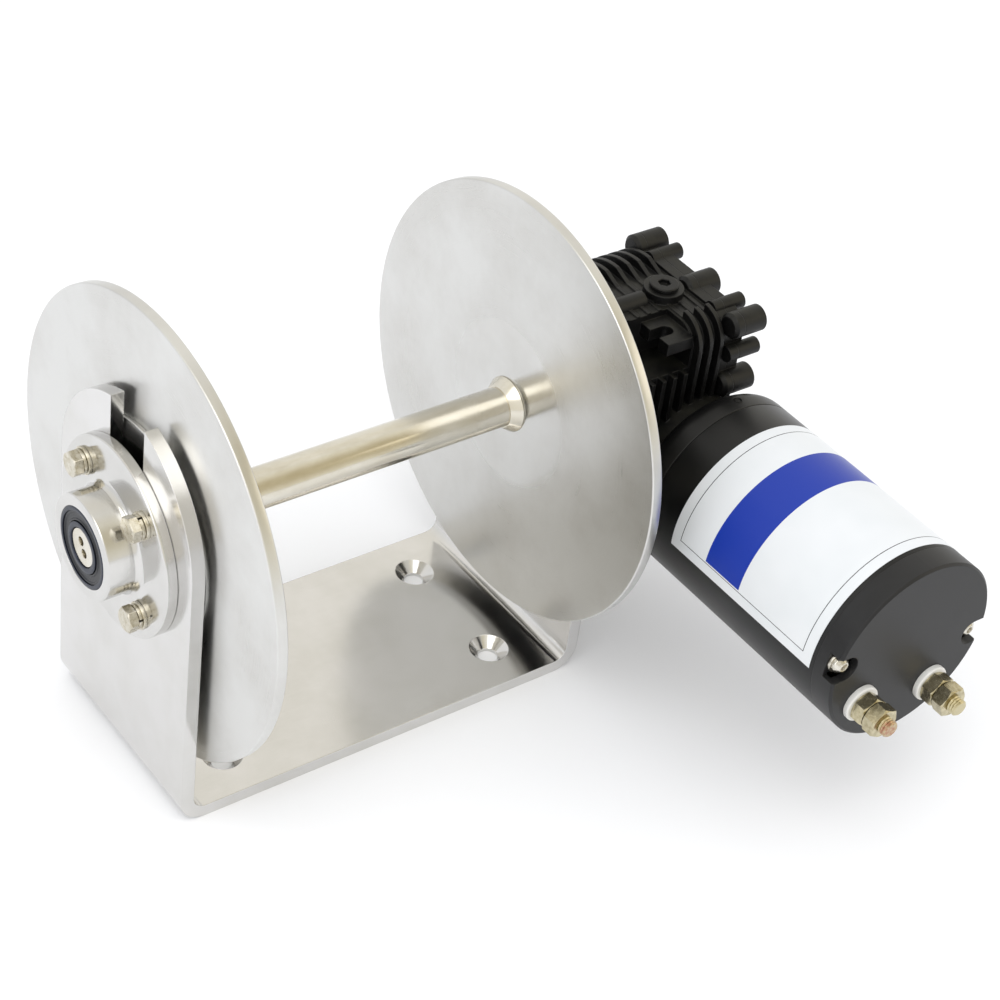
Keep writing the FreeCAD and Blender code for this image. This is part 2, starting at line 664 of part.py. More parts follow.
def make_fins():
    """Cooling ribs round the casting, cut down over the top where plug and bosses stand."""
    body = casting_prism("casting_fins", pad_end + size("fin_start"), size("fin_thick"), size("fin_height"))
    doc.recompute()
    count = int(round(size("fin_count").value))
    pattern = body.newObject("PartDesign::LinearPattern", "fin_pattern")
    pattern.Originals = [thing for thing in body.Group if thing.TypeId == "PartDesign::Pad"]
    pattern.Direction = (next(f for f in body.Origin.OriginFeatures if f.Role == "X_Axis"), [""])
    pattern.Occurrences = count
    bind(pattern, "Length", size("fin_pitch") * (count - 1))
    body.Tip = pattern
    top = axis_height + size("core_top") + size("fin_low")
    above = top + size("fin_height") * 2
    rear = size("relief_rear")
    relief = new_body("fin_relief")
    sketch = new_sketch(relief, "fin_relief_outline", "YZ_Plane", pad_end)
    draw_polygon(sketch, [(-size("relief_front"), top), (rear, top),
                          (rear + size("relief_slope") * 2, above), (-size("relief_front"), above)])
    pad(relief, sketch, size("core_length"))
    return cut("fins_relieved", body, [relief])


def rounded_boss(name, radius, start, end, y, z, rounding):
    """A boss along the drum axis with a rounded left end."""
    return turned(name, [(0.0, 0.0), (0.0, radius - rounding), (rounding, radius), (end - start, radius),
                         (end - start, 0.0)], (start, y, z), "x")


def make_gearbox_housing():
    """Finned casting open to the right, with a pad on the bracket and a round neck for the motor."""
    core = casting_prism("casting_core", pad_end, cover_x - pad_end, as_size(0))
    flange = casting_prism("casting_flange", flange_x, size("split_flange"), size("flange_step"))
    top = axis_height + size("core_top")
    front = core_front + size("fin_height")
    pocket = block("corner_pocket", (lug_end - pad_end - size("pocket_start"), front - size("lug_rear"),
                                     size("pocket_drop") + size("fin_height")),
                   (pad_end + size("pocket_start"), -front, top - size("pocket_drop")))
    ribbed = cut("ribbed_core", fuse("ribbed_blank", [core, make_fins()]), [pocket])
    pad_disc = cylinder("mount_pad", size("pad_d") / 2, size("pad_thick"), (plate_outer, 0, axis_height), "x")
    neck_r = size("neck_d") / 2
    step = size("flange_step") * 2
    neck = cylinder("neck", neck_r, size("neck_length") - step, on_motor(core_front + step), "-y")
    root = common("neck_root", [
        cylinder("neck_root_round", neck_r, step * 2, on_motor(core_front - step), "-y"),
        block("neck_root_limit", (cover_x - pad_end, step * 2, neck_r * 2),
              (pad_end, -core_front - step, worm_z - neck_r)),
    ])
    solids = [ribbed, flange, pad_disc, neck, root]
    for i, (y, z) in enumerate(boss_spots()):
        solids.append(rounded_boss(f"case_boss{i}", size("boss_d") / 2, flange_x, cover_x, y, z,
                                   size("boss_end_round")))
    for i, (y, z) in enumerate(rib_spots()):
        solids.append(cylinder(f"case_rib{i}", size("rib_boss_d") / 2, cover_x - flange_x, (flange_x, y, z), "x"))
    solids.append(cylinder("plug_boss", size("plug_boss_d") / 2, size("fin_height") * 2,
                           (plug_x, plug_y, top - size("fin_height"))))
    left_boss_r = size("left_boss_d") / 2
    solids.append(rounded_boss("left_boss", left_boss_r, plate_outer + size("left_boss_start"),
                               plate_outer + size("left_boss_end"), plug_y, top, as_size(1)))
    solids.append(make_lug(top - size("lug_drop") - size("lug_thick")))
    node("gearbox_housing", cut("gearbox_housing", fuse("casting_solid", solids), bore_tools(top)))


def make_lug(z):
    """A flat ear across the corner pocket with a slot open towards the bracket."""
    width = size("lug_width")
    slot_r = size("lug_slot") / 2
    thick = size("lug_thick")
    y = -(core_front + size("lug_rear")) / 2
    ear = block("lug_block", (width, core_front - size("lug_rear"), thick), (lug_x, -core_front, z))
    return cut("lug", ear, [
        block("lug_slot_cut", (size("lug_slot_end") - slot_r, slot_r * 2, thick), (lug_x, y - slot_r, z)),
        cylinder("lug_slot_end_cut", slot_r, thick, (lug_x + size("lug_slot_end") - slot_r, y, z)),
    ])


def bore_tools(top):
    """Everything drilled or bored into the casting."""
    bush_r = sleeve_r + size("bush_wall")
    seal_r = sleeve_r + size("seal_wall")
    shaft_bush_r = size("worm_shaft_d") / 2 + size("bush_wall")
    bush_depth = size("casting_wall") * 2
    tunnel_end = size("core_rear") - size("casting_wall") - bush_depth
    tools = [
        cylinder("wheel_chamber", size("chamber_d") / 2, cover_x - chamber_x, (chamber_x, 0, axis_height), "x"),
        cylinder("sleeve_bore", bush_r, chamber_x - plate_outer, (plate_outer, 0, axis_height), "x"),
        cylinder("seal_bore", seal_r, size("oil_seal_width"), (plate_outer, 0, axis_height), "x"),
        cylinder("worm_tunnel", size("tunnel_d") / 2, neck_end + tunnel_end, on_motor(-tunnel_end), "-y"),
        cylinder("rear_bush_bore", shaft_bush_r, bush_depth, on_motor(-tunnel_end - bush_depth), "-y"),
        cylinder("plug_bore", size("plug_d") / 2 - 1, size("plug_length"),
                 (plug_x, plug_y, top + size("fin_height") - size("plug_length"))),
        cylinder("plug_passage", size("bolt_six_d") / 2, size("core_top"), (plug_x, plug_y, axis_height)),
    ]
    for i, (across, up) in enumerate(gearbox_spots):
        tools.append(cylinder(f"pad_tap{i}", size("bolt_six_d") / 2, size("tap_length"),
                              (plate_outer, across, axis_height + up), "x"))
    for i, (y, z) in enumerate(boss_spots()):
        tools.append(cylinder(f"case_tap{i}", size("cover_screw_d") / 2, size("tap_length") / 2,
                              (cover_x - size("tap_length") / 2, y, z), "x"))
    return tools


def make_gearbox_cover():
    """Flat side cover with raised screw bosses; it also carries the far end of the output sleeve."""
    slab = casting_prism("cover_slab", cover_x, size("cover_thick"), size("flange_step"))
    solids = [slab]
    holes = [cylinder("cover_bush_bore", sleeve_r + size("bush_wall"), size("cover_thick"),
                      (cover_x, 0, axis_height), "x")]
    head_r = size("cover_screw_head_d") / 2
    for i, (y, z) in enumerate(boss_spots()):
        solids.append(cylinder(f"cover_boss{i}", size("boss_d") / 2, boss_end - cover_x, (cover_x, y, z), "x"))
        holes.append(cylinder(f"cover_screw_hole{i}", size("cover_screw_d") / 2, boss_end - cover_x,
                              (cover_x, y, z), "x"))
        holes.append(cylinder(f"cover_sink{i}", head_r + hole_play, size("cover_screw_head"),
                              (boss_end - size("cover_screw_head"), y, z), "x"))
    for i, (y, z) in enumerate(rib_spots()):
        solids.append(cylinder(f"cover_rib{i}", size("rib_boss_d") / 2, boss_end - cover_x, (cover_x, y, z), "x"))
    node("gearbox_cover", cut("gearbox_cover", fuse("cover_solid", solids), holes))


def make_gearbox_fasteners():
    """Socket-head cover screws, countersunk screws from inside the bracket, and the filler plug."""
    screw_r = size("cover_screw_d") / 2
    screw_start = cover_x - size("tap_length") / 2
    head_x = boss_end - size("cover_screw_head")
    screws = []
    for i, (y, z) in enumerate(boss_spots()):
        shank = cylinder(f"cover_screw_shank{i}", screw_r, head_x - screw_start, (screw_start, y, z), "x")
        head = cylinder(f"cover_screw_head{i}", size("cover_screw_head_d") / 2, size("cover_screw_head"),
                        (head_x, y, z), "x")
        socket = hexagon(f"cover_screw_socket{i}", screw_r * 1.6, screw_r, (boss_end - screw_r, y, z), "x")
        screws.append(cut(f"cover_screw{i}", fuse(f"cover_screw_solid{i}", [shank, head]), [socket]))
    node("cover_screws", group("cover_screws", screws))
    thread_r = size("bolt_six_d") / 2
    clear_r = thread_r + hole_play
    sunk = []
    for i, (across, up) in enumerate(gearbox_spots):
        at = (plate_inner, across, axis_height + up)
        head = cone(f"gearbox_screw_head{i}", clear_r * 2, clear_r, clear_r, at, "x")
        shank = cylinder(f"gearbox_screw_shank{i}", thread_r, plate_thick + size("tap_length"), at, "x")
        socket = hexagon(f"gearbox_screw_socket{i}", thread_r * 1.3, thread_r * 0.8, at, "x")
        sunk.append(cut(f"gearbox_screw{i}", fuse(f"gearbox_screw_solid{i}", [head, shank]), [socket]))
    node("gearbox_screws", group("gearbox_screws", sunk))
    top = axis_height + size("core_top") + size("fin_height")
    plug_r = size("plug_d") / 2
    stem = cylinder("plug_stem", plug_r - 1, size("plug_length"),
                    (plug_x, plug_y, top - size("plug_length")))
    cap = cylinder("plug_head", plug_r, size("fin_thick"), (plug_x, plug_y, top))
    socket = hexagon("plug_socket", plug_r * 0.85, size("fin_thick") * 2, (plug_x, plug_y, top - 1), "z", 10.0)
    node("filler_plug", cut("filler_plug", fuse("plug_solid", [stem, cap]), [socket]))


def make_output_parts():
    """Keyed output sleeve running in two bronze bushes, with an oil seal on the bracket side."""
    start = plate_outer + edge_break
    length = sleeve_end - start
    blank = ring("sleeve_blank", spindle_r, sleeve_r, length, (start, 0, axis_height))
    key = size("key_width")
    key_x = worm_x - size("key_length") / 2
    keyway = block("sleeve_keyway", (size("key_length"), key, spindle_r),
                   (key_x, -key / 2, axis_height + key / 2))
    node("output_sleeve", cut("output_sleeve", blank, [keyway]))
    bush_r = sleeve_r + size("bush_wall")
    left_x = plate_outer + size("oil_seal_width")
    node("output_bush_inner", ring("output_bush_inner", sleeve_r + running_gap, bush_r,
                                   chamber_x - left_x,
                                   (left_x, 0, axis_height)))
    node("output_bush_outer", ring("output_bush_outer", sleeve_r + running_gap, bush_r,
                                   size("cover_thick"), (cover_x, 0, axis_height)))
    node("output_seal", ring("output_seal", sleeve_r + running_gap, sleeve_r + size("seal_wall"),
                             size("oil_seal_width"), (plate_outer, 0, axis_height)))


def make_worm_wheel():
    """Bronze wheel with slanted teeth; a gap between teeth faces the worm at rest."""
    count = int(round(wheel_teeth.value))
    face = size("wheel_face").value
    pitch_r = wheel_r.value
    half = size("tooth_width").value / 2
    rise = size("tooth_rise").value
    root = size("tooth_root").value
    slope = math.tan(math.radians(20))
    lead = gear_module.value / (2 * worm_r.value)
    twist = face * lead / pitch_r
    points = []
    for i in range(count):
        middle = -math.pi / 2 + (i + 0.5) * 2 * math.pi / count
        for offset, depth in ((-1, -root), (-1, rise), (1, rise), (1, -root)):
            radius = pitch_r + depth
            width = half - slope * depth
            angle = middle + offset * width / radius
            points.append((radius, angle))
    wires = []
    for x, turn in ((-face / 2, -twist / 2), (face / 2, twist / 2)):
        ends = [Vector(worm_x.value + x, radius * math.cos(angle + turn),
                       axis_height.value + radius * math.sin(angle + turn)) for radius, angle in points]
        wires.append(Part.makePolygon(ends + ends[:1]))
    toothed = Part.makeLoft(wires, True, True)
    bore = Part.makeCylinder(sleeve_r.value, face * 2, Vector(worm_x.value - face, 0, axis_height.value),
                             Vector(1, 0, 0))
    thing = doc.addObject("Part::Feature", "worm_wheel")
    thing.Shape = toothed.cut(bore)
    node("worm_wheel", thing)


def make_worm():
    """Single-start steel worm: a helical thread of straight-sided section on a plain barrel."""
    pitch = math.pi * gear_module.value
    length = size("worm_length").value
    half = size("thread_width").value / 2
    rise = size("tooth_rise").value
    root = size("tooth_root").value
    slope = math.tan(math.radians(20))
    radius = worm_r.value
    barrel_r = radius - root
    turns = math.floor((length - 2 * pitch) / pitch)
    start = -turns * pitch / 2
    sink = 0.3
    helix = Part.makeHelix(pitch, turns * pitch, radius)
    foot = half + slope * (root + sink)
    tip = half - slope * rise
    section = [Vector(barrel_r - sink, 0, -foot), Vector(radius + rise, 0, -tip),
               Vector(radius + rise, 0, tip), Vector(barrel_r - sink, 0, foot)]
    thread = Part.Wire(helix).makePipeShell([Part.makePolygon(section + section[:1])], True, True)
    thread = Part.Solid(thread)
    if thread.Volume < 0:
        thread.reverse()
    # The helix starts on +X of its own frame and climbs +Z; turned so that it climbs +Y and so that
    # a crest stands on top of the worm above the wheel's centre.
    phase = 360.0 * (start / pitch - math.floor(start / pitch))
    thread.Placement = Placement(Vector(0, 0, start), Rotation(Vector(0, 0, 1), phase))
    barrel = Part.makeCylinder(barrel_r, length, Vector(0, 0, -length / 2))
    solid = barrel.fuse(thread)
    bore = Part.makeCylinder(size("worm_shaft_d").value / 2, length * 2, Vector(0, 0, -length))
    solid = solid.cut(bore)
    thing = doc.addObject("Part::Feature", "worm")
    thing.Shape = solid
    frame = FreeCAD.Matrix(0, 1, 0, worm_x.value, 0, 0, 1, 0, 1, 0, 0, worm_z.value, 0, 0, 0, 1)
    thing.Placement = Placement(frame)
    node("worm", thing)


# ---------------------------------------------------------------- motor
def make_motor_shells():
    """Rounded front bell, rolled steel tube and a flat rear cap with two notches for the tie bolts."""
    wall = size("cap_wall")
    tube_in = motor_r - size("tube_wall")
    hub_r = size("shaft_d") / 2 + size("bush_wall") * 2
    bush_r = size("shaft_d") / 2 + size("bush_wall")
    bell = size("bell_length")
    bow = size("bell_round")
    neck_r = size("neck_d") / 2
    bell_body = turned("bell_turned", [
        (0.0, bush_r), (0.0, motor_r), (bell, motor_r), (bell, tube_in), (bow, tube_in - wall / 2),
        (wall, neck_r - wall / 2), (wall, hub_r), (bell - 1, hub_r), (bell - 1, bush_r),
    ], on_motor(neck_end), "-y")
    doc.recompute()
    round_edge(bell_body, motor_r, bow)
    tie_r = size("through_bolt_d") / 2
    ties = [cylinder(f"bell_tie_hole{i}", tie_r, bell, (worm_x + across, -neck_end, worm_z + up), "-y")
            for i, (across, up) in enumerate(tie_spots)]
    node("motor_front_bell", cut("motor_front_bell", bell_body, ties))
    node("motor_tube", ring("motor_tube", tube_in, motor_r, cap_start - bell_end, on_motor(bell_end), "-y"))
    length = size("cap_length")
    edge = size("cap_edge")
    rear_bush_r = size("shaft_d") / 2 + size("bush_wall")
    cap_body = turned("cap_turned", [
        (0.0, tube_in), (length - wall, tube_in), (length - wall, rear_bush_r + 3), (2.0, rear_bush_r + 3),
        (2.0, rear_bush_r), (length - wall, rear_bush_r), (length - wall, 0.0), (length, 0.0),
        (length, motor_r - edge), (length - edge, motor_r), (0.0, motor_r),
    ], on_motor(cap_start), "-y")
    tools = []
    lugs = []
    notch_r = size("bolt_notch_d") / 2
    notch = size("bolt_notch_depth")
    for i, (across, up) in enumerate(tie_spots):
        at_x = worm_x + across
        at_z = worm_z + up
        lugs.append(cylinder(f"cap_tie_boss{i}", notch_r, length, (at_x, -cap_start, at_z), "-y"))
        tools.append(cylinder(f"cap_notch{i}", notch_r, notch, (at_x, -motor_end + notch, at_z), "-y"))
        out = (1 if across.value > 0 else -1)
        tools.append(block(f"cap_notch_mouth{i}", (notch_r * 2, notch, notch_r * 2),
                           (at_x + notch_r * (out - 1), -motor_end, at_z - notch_r)))
        tools.append(cylinder(f"cap_tie_hole{i}", tie_r, length, (at_x, -cap_start, at_z), "-y"))
    sleeve_hole = size("insulator_sleeve_d") / 2
    for i, (x, z) in enumerate(stud_spots):
        tools.append(cylinder(f"cap_stud_hole{i}", sleeve_hole, length, (x, -cap_start, z), "-y"))
    limit = cylinder("cap_limit", motor_r, length, on_motor(cap_start), "-y")
    solid = common("cap_solid", [fuse("cap_with_bosses", [cap_body] + lugs), limit])
    node("motor_rear_cap", cut("motor_rear_cap", solid, tools))


def make_tie_bolts():
    """Two long bolts clamp cap and tube to the bell; their domed heads sit in the cap's notches."""
    tie_r = size("through_bolt_d") / 2
    head_y = motor_end - size("bolt_notch_depth")
    washer = size("washer_six_thick")
    bolts = []
    washers = []
    for i, (across, up) in enumerate(tie_spots):
        at_x = worm_x + across
        at_z = worm_z + up
        length = head_y + washer - neck_end - size("cap_wall")
        shank = cylinder(f"tie_shank{i}", tie_r, length, (at_x, -neck_end - size("cap_wall"), at_z), "-y")
        head = cylinder(f"tie_head{i}", size("through_head_d") / 2, size("through_head_thick"),
                        (at_x, -head_y - washer, at_z), "-y")
        bolts.append(fuse(f"tie_bolt{i}", [shank, head]))
        washers.append(ring(f"tie_washer{i}", tie_r, size("through_washer_d") / 2, washer,
                            (at_x, -head_y, at_z), "-y"))
    node("through_bolts", group("through_bolts", bolts))
    node("through_bolt_washers", group("through_bolt_washers", washers))


def make_terminals():
    """Two studs on nylon insulators, each with a fixing nut and a cable nut."""
    stud_r = size("stud_d") / 2
    relief = size("stud_relief")
    root_r = stud_r - relief
    tip = size("stud_tip")
    inner_face = motor_end - size("cap_wall")
    sleeve_r_out = size("insulator_sleeve_d") / 2
    disc_thick = size("insulator_thick")
    nut = size("nut_thick")
    gap = size("nut_gap")
    studs = []
    insulators = []
    inner_nuts = []
    outer_nuts = []
    for i, (x, z) in enumerate(stud_spots):
        start = inner_face - disc_thick
        length = size("stud_length") - tip
        body = cylinder(f"stud_body{i}", root_r, length, (x, -start, z), "-y")
        free = cylinder(f"stud_tip_body{i}", stud_r, tip, (x, -start - length, z), "-y")
        foot = cylinder(f"stud_foot{i}", stud_r + 2, disc_thick, (x, -start + disc_thick, z), "-y")
        studs.append(fuse(f"terminal_stud{i}", [body, free, foot]))
        insulators.append(turned(f"terminal_insulator{i}", [
            (0.0, root_r), (disc_thick + size("cap_wall") + disc_thick, root_r),
            (disc_thick + size("cap_wall") + disc_thick, size("insulator_d") / 2),
            (disc_thick + size("cap_wall"), size("insulator_d") / 2),
            (disc_thick + size("cap_wall"), sleeve_r_out), (disc_thick, sleeve_r_out),
            (disc_thick, sleeve_r_out + 1), (0.0, sleeve_r_out + 1),
        ], (x, -start, z), "-y"))
        nut_y = motor_end + disc_thick
        for name, offset, turn, out in (("inner", as_size(0), 22.0, inner_nuts),
                                        ("outer", nut + gap, 35.0, outer_nuts)):
            hexed = hexagon(f"{name}_nut_body{i}", size("nut_af"), nut, (x, -nut_y - offset, z), "-y",
                            turn + 17.0 * i)
            round_limit = cone(f"{name}_nut_round{i}", size("nut_af") * 0.62, size("nut_af") * 0.5, nut * 1.6,
                               (x, -nut_y - offset, z), "-y")
            bore = cylinder(f"{name}_nut_bore{i}", root_r, nut, (x, -nut_y - offset, z), "-y")
            out.append(cut(f"{name}_nut{i}", common(f"{name}_nut_blank{i}", [hexed, round_limit]), [bore]))
    node("terminal_studs", group("terminal_studs", studs))
    node("terminal_insulators", group("terminal_insulators", insulators))
    node("terminal_inner_nuts", group("terminal_inner_nuts", inner_nuts))
    node("terminal_outer_nuts", group("terminal_outer_nuts", outer_nuts))


def make_rotor():
    """Armature: stepped shaft, slotted core, end windings and commutator."""
    shaft_r = size("shaft_d") / 2
    thin_r = size("worm_shaft_d") / 2
    rear = size("core_rear") - size("casting_wall") * 2
    step_at = rear + neck_end
    end_at = rear + motor_end - size("cap_wall") - 1
    node("armature_shaft", turned("armature_shaft", [
        (0.0, 0.0), (end_at, 0.0), (end_at, shaft_r), (step_at, shaft_r), (step_at, thin_r), (0.0, thin_r),
    ], on_motor(-rear), "-y"))
    stack = size("stack_length")
    stack_start = bell_end + size("winding_length") + 4
    blank = ring("stack_blank", shaft_r, size("core_d") / 2, stack, on_motor(stack_start), "-y")
    count = int(round(size("stack_slots").value))
    mouth = size("slot_mouth")
    depth = size("slot_depth")
    slots = []
    for i in range(count):
        slot = doc.addObject("Part::Box", f"core_slot{i}")
        bind(slot, "Length", depth)
        bind(slot, "Width", stack)
        bind(slot, "Height", mouth)
        turn = Rotation(Vector(0, 1, 0), 360.0 * i / count)
        arm = (size("core_d") / 2 - depth).value
        offset = turn.multVec(Vector(arm, -stack.value, -mouth.value / 2))
        slot.Placement = Placement(Vector(worm_x.value, -stack_start.value, worm_z.value) + offset, turn)
        slots.append(slot)
    node("armature_core", cut("armature_core", blank, slots))
    winding_in = shaft_r + 4
    coils = [
        ring("front_winding", winding_in, size("winding_d") / 2, size("winding_length"),
             on_motor(stack_start - size("winding_length")), "-y"),
        ring("rear_winding", winding_in, size("winding_d") / 2, size("winding_length"),
             on_motor(stack_start + stack), "-y"),
    ]
    node("armature_windings", group("armature_windings", coils))
    commutator_start = stack_start + stack + size("winding_length") + 1
    node("commutator", ring("commutator", shaft_r, size("commutator_d") / 2, size("commutator_length"),
                            on_motor(commutator_start), "-y"))
    return commutator_start


def make_stator(commutator_start):
    """Arc magnets inside the tube, and a brush plate with four sprung carbon brushes."""
    outer = motor_r - size("tube_wall") - size("magnet_gap")
    inner = size("magnet_inner_d") / 2
    length = size("magnet_length")
    start = bell_end + 3
    magnets = []
    for i in range(4):
        middle = -size("motor_twist").value + 45 + 90 * i
        pair = []
        for name, radius in (("outer", outer), ("inner", inner)):
            part = doc.addObject("Part::Cylinder", f"magnet_{name}{i}")
            bind(part, "Radius", radius)
            bind(part, "Height", length)
            bind(part, "Angle", size("magnet_span"))
            first = middle - size("magnet_span").value / 2
            pair.append(place(part, on_motor(start), ALONG["-y"] * Rotation(Vector(0, 0, 1), first)))
        magnets.append(cut(f"magnet{i}", pair[0], [pair[1]]))
    node("field_magnets", group("field_magnets", magnets))
    plate_y = commutator_start + size("commutator_length") - size("brush_plate_thick")
    plate = ring("brush_plate_blank", size("commutator_d") / 2 + 1.5, size("through_bolt_pcd") / 2 - size("through_bolt_d"),
                 size("brush_plate_thick"), on_motor(plate_y), "-y")
    node("brush_plate", plate)
    width = size("brush_width")
    height = size("brush_height")
    reach = size("commutator_d") / 2 + size("brush_gap")
    brushes = []
    springs = []
    for i in range(4):
        turn = Rotation(Vector(0, 1, 0), 45.0 + 90.0 * i)
        brush = doc.addObject("Part::Box", f"brush{i}")
        bind(brush, "Length", height)
        bind(brush, "Width", width)
        bind(brush, "Height", width)
        at = Vector(worm_x.value, -plate_y.value, worm_z.value)
        brush.Placement = Placement(at + turn.multVec(Vector(reach.value, 0, -width.value / 2)), turn)
        brushes.append(brush)
        spring = doc.addObject("Part::Cylinder", f"brush_spring_body{i}")
        bind(spring, "Radius", width / 2 - 0.5)
        spring.Height = 8
        spring_turn = turn * Rotation(Vector(0, 1, 0), 90)
        spot = turn.multVec(Vector(reach.value + height.value, width.value / 2, 0))
        spring.Placement = Placement(at + spot, spring_turn)
        springs.append(spring)
    node("brushes", group("brushes", brushes))
    node("brush_springs", group("brush_springs", springs))


def make_shaft_bushes():
    """Bushes that carry the armature shaft: in the bell, in the rear cap and behind the worm."""
    shaft_r = size("shaft_d") / 2
    bush = size("bush_wall")
    node("motor_front_bush", ring("motor_front_bush", shaft_r + running_gap, shaft_r + bush,
                                  size("bell_length") - 1, on_motor(neck_end), "-y"))
    rear_length = size("cap_length") - size("cap_wall") - 2
    node("motor_rear_bush", ring("motor_rear_bush", shaft_r + running_gap, shaft_r + bush, rear_length,
                                 on_motor(cap_start + 2), "-y"))
    thin_r = size("worm_shaft_d") / 2
    bush_depth = size("casting_wall") * 2
    rear_face = size("core_rear") - size("casting_wall")
    node("worm_rear_bush", ring("worm_rear_bush", thin_r + running_gap, thin_r + bush, bush_depth,
                                on_motor(-rear_face), "-y"))


make_bracket()
make_drum()
make_spindle()
make_bearing()
make_bearing_housing()
make_housing_bolts()
make_gearbox_housing()
make_gearbox_cover()
make_gearbox_fasteners()
make_output_parts()
make_worm_wheel()
make_worm()
make_motor_shells()
make_tie_bolts()
make_terminals()
make_stator(make_rotor())
make_shaft_bushes()
doc.recompute()

faults = []
for thing in doc.Objects:
    if "Invalid" in thing.State or "Error" in thing.State:
        faults.append(f"{thing.Name}: {thing.State}")
for label, thing in nodes.items():
    shape = thing.Shape
    if shape.isNull() or not shape.isValid() or not shape.Solids:
        faults.append(f"{label}: no valid solid")
if faults:
    raise RuntimeError("\n".join(faults))

os.makedirs("parts", exist_ok=True)
for label, thing in nodes.items():
    thing.Shape.exportStep(os.path.join("parts", label + ".step"))
    box = thing.Shape.BoundBox
    print(f"{label:24s} {len(thing.Shape.Solids):3d} solid(s) {thing.Shape.Volume:12.1f} mm3  "
          f"x {box.XMin:7.1f} {box.XMax:7.1f}  y {box.YMin:7.1f} {box.YMax:7.1f}  "
          f"z {box.ZMin:7.1f} {box.ZMax:7.1f}")
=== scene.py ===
import math

import bmesh
import bpy
import numpy as np
from mathutils import Matrix, Vector


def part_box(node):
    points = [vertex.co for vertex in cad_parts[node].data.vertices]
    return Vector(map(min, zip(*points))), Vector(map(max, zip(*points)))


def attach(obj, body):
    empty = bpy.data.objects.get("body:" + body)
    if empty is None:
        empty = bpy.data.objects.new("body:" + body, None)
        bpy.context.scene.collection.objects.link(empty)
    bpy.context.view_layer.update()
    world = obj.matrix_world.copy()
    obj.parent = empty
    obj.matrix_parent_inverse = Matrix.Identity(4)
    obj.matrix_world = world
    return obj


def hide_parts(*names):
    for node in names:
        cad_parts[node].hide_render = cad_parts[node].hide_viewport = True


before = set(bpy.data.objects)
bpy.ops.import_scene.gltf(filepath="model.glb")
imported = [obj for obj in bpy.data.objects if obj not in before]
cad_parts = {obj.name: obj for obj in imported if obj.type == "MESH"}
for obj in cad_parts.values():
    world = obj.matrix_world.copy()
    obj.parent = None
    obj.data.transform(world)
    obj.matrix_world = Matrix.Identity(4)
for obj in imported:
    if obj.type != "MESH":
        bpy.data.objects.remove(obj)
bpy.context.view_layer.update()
MM = 0.001


# ---- camera: a long lens from the front left, well above the drum, rolled a little so that the base
# climbs to the right.
eye = Vector((-488.05, -664.73, 755.96)) * MM
azimuth, elevation, roll = (math.radians(a) for a in (-41.01, 38.18, 8.31))
back = Vector((math.sin(azimuth) * math.cos(elevation), -math.cos(azimuth) * math.cos(elevation),
               math.sin(elevation)))
level_right = (-back).cross(Vector((0, 0, 1))).normalized()
level_up = level_right.cross(-back)
right = math.cos(roll) * level_right + math.sin(roll) * level_up
up = -math.sin(roll) * level_right + math.cos(roll) * level_up
camera = bpy.data.objects.new("camera", bpy.data.cameras.new("camera"))
camera.data.lens = 89.549
camera.data.sensor_width = 36.0
camera.data.clip_start = 0.05
camera.matrix_world = Matrix.Translation(eye) @ Matrix((right, up, back)).transposed().to_4x4()
bpy.context.collection.objects.link(camera)
bpy.context.scene.camera = camera
bpy.context.scene.view_settings.view_transform = "Standard"


# ---- bracket: 6 mm stainless sheet, laser cut, folded into a U and given a satin polish. The finish
# runs in very fine lines along the sheet, with soft clouds where the polishing wheel pressed harder.
def linear(code):
    """The linear colour of an sRGB hex value, fully opaque."""
    parts = [int(code[i:i + 2], 16) / 255 for i in (1, 3, 5)]
    curved = [c / 12.92 if c <= 0.04045 else ((c + 0.055) / 1.055) ** 2.4 for c in parts]
    return (*curved, 1.0)


def add(tree, kind, settings=None, **inputs):
    """One shader node: settings are its own properties; inputs go by socket name, with _ for a space,
    or by _ and the socket's number."""
    made = tree.nodes.new("ShaderNode" + kind)
    for key, value in (settings or {}).items():
        setattr(made, key, value)
    for key, value in inputs.items():
        socket = made.inputs[int(key[1:]) if key[1:].isdigit() else key.replace("_", " ")]
        if isinstance(value, bpy.types.NodeSocket):
            tree.links.new(value, socket)
        else:
            socket.default_value = value
    return made


def shader(name, **fixed):
    """A material with one glossy-and-matt shader and fixed values on its sockets; returns it, its
    tree, the shader and Object coordinates."""
    made = bpy.data.materials.new(name)
    made.use_nodes = True
    tree = made.node_tree
    base = tree.nodes["Principled BSDF"]
    for key, value in fixed.items():
        base.inputs[key.replace("_", " ")].default_value = value
    place = add(tree, "TexCoord").outputs["Object"]
    return made, tree, base, place


def feed(tree, base, **sockets):
    """Links values to the shader's sockets, each named with _ for a space."""
    for key, value in sockets.items():
        tree.links.new(value, base.inputs[key.replace("_", " ")])


def ramp(tree, factor, stops):
    """A colour ramp through (position, hex colour) stops."""
    made = add(tree, "ValToRGB", Fac=factor)
    band = made.color_ramp
    while len(band.elements) < len(stops):
        band.elements.new(0.5)
    for element, (position, colour) in zip(band.elements, stops):
        element.position = position
        element.color = linear(colour)
    return made.outputs["Color"]


def spread(tree, factor, low, high):
    """The 0 to 1 value spread between two numbers."""
    return add(tree, "MapRange", Value=factor, To_Min=low, To_Max=high).outputs["Result"]


def maths(tree, operation, a, b):
    """Two values joined by one of the Math node's operations."""
    return add(tree, "Math", {"operation": operation}, _0=a, _1=b).outputs[0]


def streaked(tree, tone, factor, low, high):
    """A colour times the 0 to 1 value spread between two numbers."""
    return add(tree, "VectorMath", {"operation": "SCALE"}, _0=tone,
               Scale=spread(tree, factor, low, high)).outputs[0]


